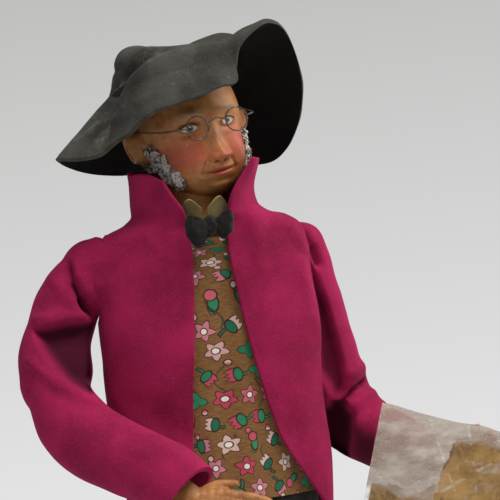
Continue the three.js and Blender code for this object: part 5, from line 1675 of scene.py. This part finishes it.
bow_band = laid_cloth("cravat_band", band_face, 120, 14)
in_edit(bow_band, weld)
modify(bow_band, "SOLIDIFY", thickness=COTTON * MM, offset=-1)
soften(bow_band)
dress(bow_band, BOW_CLOTH, "dark_cloth", "bow_band")
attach(bow_band, "torso")
bow_part("cravat_right_loop", "bow_right_loop", (4.4, 2.2, 5.7), (-4.6, BOW_FRONT, BOW_HEIGHT - 0.6), -1, 5)
bow_part("cravat_left_loop", "bow_left_loop", (3.4, 2.0, 5.0), (4.6, BOW_FRONT, BOW_HEIGHT + 0.6), 1, 5)
bow_part("cravat_knot", "bow_knot", (2.7, 4.2, 3.3), (0, -20.7, BOW_HEIGHT), 0, 4)

# %% [markdown]
# ## Hands
# The hands are cast in the same composition as the head, small and simple. Beads along each finger's bones
# and across the palm are joined and remeshed into one skin, which keeps soft webs between the fingers.

# %% hands
def bead(points, radii):
    made = []
    for point, radius in zip(points, radii):
        bpy.ops.mesh.primitive_ico_sphere_add(subdivisions=2, radius=radius, location=point)
        made.append(bpy.context.object)
    return made


def through(points, count):
    """Evenly spread points on a smooth run through a few given ones."""
    points = np.asarray(points, float)
    line = curve_through(np.hstack([np.arange(len(points))[:, None], points]))
    return line(np.linspace(0, len(points) - 1, count)).T


PALM_END, FINGER, HAND_VOXEL = 12.0, 25, 0.36
PALM_ROWS = [
    (-3, 4.0, 3.8), (-0.5, 4.4, 3.9), (2, 5.2, 3.6), (4.5, 6.0, 3.3), (7, 6.5, 3.0), (9.5, 6.6, 2.7),
    (11.5, 6.3, 2.4),
]


def hand(name, wrist, fore, reaching, backward, curl, thumb_curl):
    beads = []
    for z, half, thick in PALM_ROWS:
        for x in np.linspace(-half + thick, half - thick, 5):
            beads += bead([(x, 0.15, z)], [thick])
    for i, share in enumerate((0.46, 0.53, 0.5, 0.4)):
        x = 4.7 - i * 3.1
        long = FINGER * share
        bones = [
            (x * 0.94, 0.2, PALM_END - 3), (x, -0.2 * curl, PALM_END + long * 0.4),
            (x, -0.95 * curl, PALM_END + long * 0.75), (x * 0.98, -2.4 * curl, PALM_END + long),
        ]
        line = through(bones, 16)
        t = np.linspace(0, 1, 16)
        knuckles = 0.12 * (hump(t - 0.45, 0, 0.08, 1) + hump(t - 0.75, 0, 0.06, 1))
        beads += bead(line, 1.85 - 0.5 * t + knuckles)
    line = through([(3.4, -0.6, 1), (7.2, -1.6 * thumb_curl, 5.5), (8.8, -2.8 * thumb_curl, 11)], 14)
    beads += bead(line, np.linspace(2.4, 1.55, 14))
    piece = join(f"{name}_painted_hand", beads)
    sideways = unit(np.cross(backward, reaching))
    turn = xyz(sideways, np.cross(reaching, sideways), reaching)
    settle(piece)
    lay(piece, spot(points_of(piece) @ turn.T + wrist))
    stub = turned_form("stub", [(0, -13.6), (4.3, -13.6), (4.4, -7), (4.3, 0), (3, 2), (0, 2.5)], wrist, fore)
    piece = join(f"{name}_painted_hand", [piece, stub])
    modify(piece, "REMESH", mode="VOXEL", voxel_size=HAND_VOXEL * MM)
    modify(piece, "SMOOTH", factor=0.5, iterations=6)
    soften(piece, 70)
    dress(piece, HAND_PAINT, "composition", f"{name}_hand")
    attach(piece, f"{name}_forearm")


hand("right", RIGHT_WRIST, RIGHT_FORE, unit((0.88, -0.42, -0.22)), unit((-0.2, -1, 0.45)), 1.0, 0.6)
hand("left", LEFT_WRIST, LEFT_FORE, unit((0.835, -0.4, 0.378)), unit((0.4, 1, 0.2)), 0.5, 0.4)

# %% [markdown]
# ## Brown sheet in a clear pocket
# The left hand holds a torn sheet of brown paper in a pocket of crumpled film. Crumpled film is flat facets
# between sharp folds, which smooth noise never gives. So each fold is a line across the sheet, and the film
# bends by the distance to it. The pocket is one strip, folded at the bottom, and the paper lies inside.

# %% sheet
SHEET_TURN = np.array(Euler((0.1, 0.3, -0.26), "XYZ").to_matrix())
SHEET_PLACE = LEFT_WRIST + (17, -13.4, 6.6)
FILM_THICK, PAPER_THICK, PAPER_INSET = 0.12, 0.3, 1.6
FOLDS = [
    (-8, -2, 0.9, -0.35, 0.07), (-14, -22, 0.5, 0.85, 0.06), (6, -18, -0.75, 0.6, 0.07),
    (-24, -8, 0.1, 1.0, 0.05), (12, 0, 0.95, 0.2, 0.06), (-30, -30, 0.8, 0.6, 0.05),
    (0, -38, 0.2, 1.0, 0.06), (-18, 2, -0.6, 0.8, 0.06),
]
TEAR = np.array([
    (-36, -21), (-27, -20), (-19, -21.5), (-15, -17), (-11, -9),
    (-9.5, 0.6), (-2, 1.6), (6, 0.4), (14, 1.4), (22, 0.6),
])


def crumple(x, z):
    lift = 0 * x
    for fold_x, fold_z, run_x, run_z, steep in FOLDS:
        away = (x - fold_x) * run_z - (z - fold_z) * run_x
        lift += steep * (np.sqrt(away ** 2 + 0.15) - np.clip(np.abs(away), 9, 60))
    return np.clip(lift * 0.45, -0.7, 0.9)


def held(x, z, depth):
    """From the pocket's own flat place to the left hand."""
    bow = 2.2 * np.sin(x / 13) + 1.2 * np.sin(z / 15 + x / 30)
    return xyz(x, bow + depth, z) @ SHEET_TURN.T + SHEET_PLACE


def film_face(u, v):
    x = SHEET_LEFT + (1 - u) * (SHEET_RIGHT - SHEET_LEFT)
    back = v > 0.5
    down = np.where(back, (1 - v) * 2, v * 2)
    lip = 0.5 * np.sin(x / 6) + 1.3 * smooth(-x, 24, 37) - 1.8 * mound(x - 5, 5)
    z = SHEET_TOP - down * (SHEET_TOP - SHEET_BOTTOM) + lip * (1 - down)
    puff = np.sin(np.clip(u, 0.02, 0.98) * math.pi) ** 0.35 * np.clip((1 - down) * 8, 0, 1)
    depth = np.where(back, 1.0 + 0.9 * puff, 1.0 - 0.9 * puff)
    return held(x, z, depth - crumple(x, z))


def paper_face(u, v):
    x = SHEET_LEFT + PAPER_INSET + u * (SHEET_RIGHT - SHEET_LEFT - 2 * PAPER_INSET)
    tear = np.interp(x, *TEAR.T)
    jag = np.array([noise.fractal(Vector((a * 0.5, 3.1, 0)), 1.0, 2.0, 4) for a in x])
    top = tear + 1.1 * jag
    z = SHEET_BOTTOM + PAPER_INSET + v * (top - SHEET_BOTTOM - PAPER_INSET)
    return held(x, z, 1.0 - crumple(x, z) * 0.8)


film = laid_cloth("clear_pocket", film_face, 110, 200)
modify(film, "SOLIDIFY", thickness=FILM_THICK * MM, offset=0)
soften(film, 25)
dress(film, FILM, "clear_film", "clear_sleeve")
paper = laid_cloth("brown_sheet", paper_face, 160, 90)
modify(paper, "SOLIDIFY", thickness=PAPER_THICK * MM, offset=0)
soften(paper, 25)
dress(paper, PARCHMENT, "parchment", "parchment")
for piece, size, area in ((film, (0.06, 0.112), None), (paper, (0.057, 0.052), 0.0022)):
    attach(piece, "left_forearm")

# %% [markdown]
# ## Inside the clothes
# The body is calico packed with wool, on a soft wire armature. Nobody sees it dressed, but the part is also
# taken apart, so each padded solid is copied, welded, remeshed and smoothed into a stuffed form. Its seat
# is covered with the trousers' cloth, which closes them between the legs. The wires stay as they are in the
# frame and get a tarnished steel.

# %% stuffing
SEAT_LINE, CALICO_VOXEL = -93, 1.1


def stuffed(node, body):
    copy = copy_of(frame["nodes"][node])
    copy.parent = None
    copy.matrix_world = Matrix.Identity(4)
    for key in list(copy.keys()):
        del copy[key]
    copy.name = f"calico_{node}"
    in_edit(copy, weld)
    modify(copy, "REMESH", mode="VOXEL", voxel_size=CALICO_VOXEL * MM)
    modify(copy, "SMOOTH", factor=0.5, iterations=5)
    soften(copy, 60)
    dress(copy, CALICO, "stuffing", node)
    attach(copy, body)
    return copy


seat = stuffed("torso_padding", "torso")
seat.data.materials.append(TROUSER_CLOTH)
seat_height = spot((0, 0, SEAT_LINE))[2]
for face in seat.data.polygons:
    face.material_index = int(face.center.z < seat_height)
stuffed("right_leg", "right_leg")
stuffed("left_leg", "left_leg")
for name, node in frame["nodes"].items():
    if name.endswith("_wire"):
        node.data.materials.clear()
        node.data.materials.append(ARMATURE_WIRE)

# %% [markdown]
# ## Studio
# The photograph has a plain pale grey ground, a soft light from above and in front, and little shadow. The
# world shows the grey to the camera and gives the object a weaker fill. The floor holds the shadow near the
# shoes and fades into that grey, so that the doll can be seen from any side without a wall in the way.

# %% studio
scene = bpy.context.scene
scene.view_settings.view_transform = "Standard"
world = bpy.data.worlds.new("pale_studio")
scene.world = world
world.use_nodes = True
air = Graph(world.node_tree)
ground = air.tree.nodes["Background"].inputs
PALE_TOP, PALE_LOW = paint(192, 192, 191), paint(228, 228, 228)
FILL = 0.27
height = air.parts(air.coords("Generated"))[2]
rise = air.node("ShaderNodeMapRange", None, {"Value": height, "From Min": -0.12, "From Max": 0.06})
air.feed(ground["Color"], air.mix(rise, PALE_LOW, PALE_TOP))
seen = air.node("ShaderNodeLightPath", out="Is Camera Ray")
for ray in ("Is Glossy Ray", "Is Transmission Ray"):
    seen = seen.most(air.node("ShaderNodeLightPath", out=ray))
power = air.node("ShaderNodeMapRange", None, {"Value": seen, "To Min": FILL, "To Max": 1.0})
air.feed(ground["Strength"], power)

bpy.ops.mesh.primitive_circle_add(vertices=96, radius=1.4, fill_type="NGON")
floor = named("studio_floor")
pale = Finish("pale_floor", roughness=0.9, specular_ior_level=0.1)
x, y, _ = pale.parts(pale.coords())
radius = (x * x + y * y).math("SQRT")
speck = pale.grain(pale.coords(), 30, 2)
pale.set(base_color=pale.mix(speck, paint(222, 222, 222), paint(228, 228, 227)))
pale.set(alpha=radius.ramp(0.25, 1.1, 1.0, 0.0))
floor.data.materials.append(pale.material)


def softbox(name, place, size, watts, colour):
    bpy.ops.object.light_add(type="AREA", location=place)
    lamp = bpy.context.object
    lamp.name = name
    lamp.data.size = size
    lamp.data.energy = watts
    lamp.data.color = colour
    lamp.rotation_euler = (Vector((0, 0, 0.2)) - Vector(place)).to_track_quat("-Z", "Y").to_euler()


softbox("key", (0.45, -0.5, 1.3), 0.7, 18, (1.0, 0.98, 0.95))
softbox("fill", (-0.9, -0.8, 0.75), 0.9, 4, (0.97, 0.98, 1.0))
softbox("rim", (1.1, 0.2, 0.65), 0.8, 6, (1.0, 1.0, 1.0))
print("studio ready")
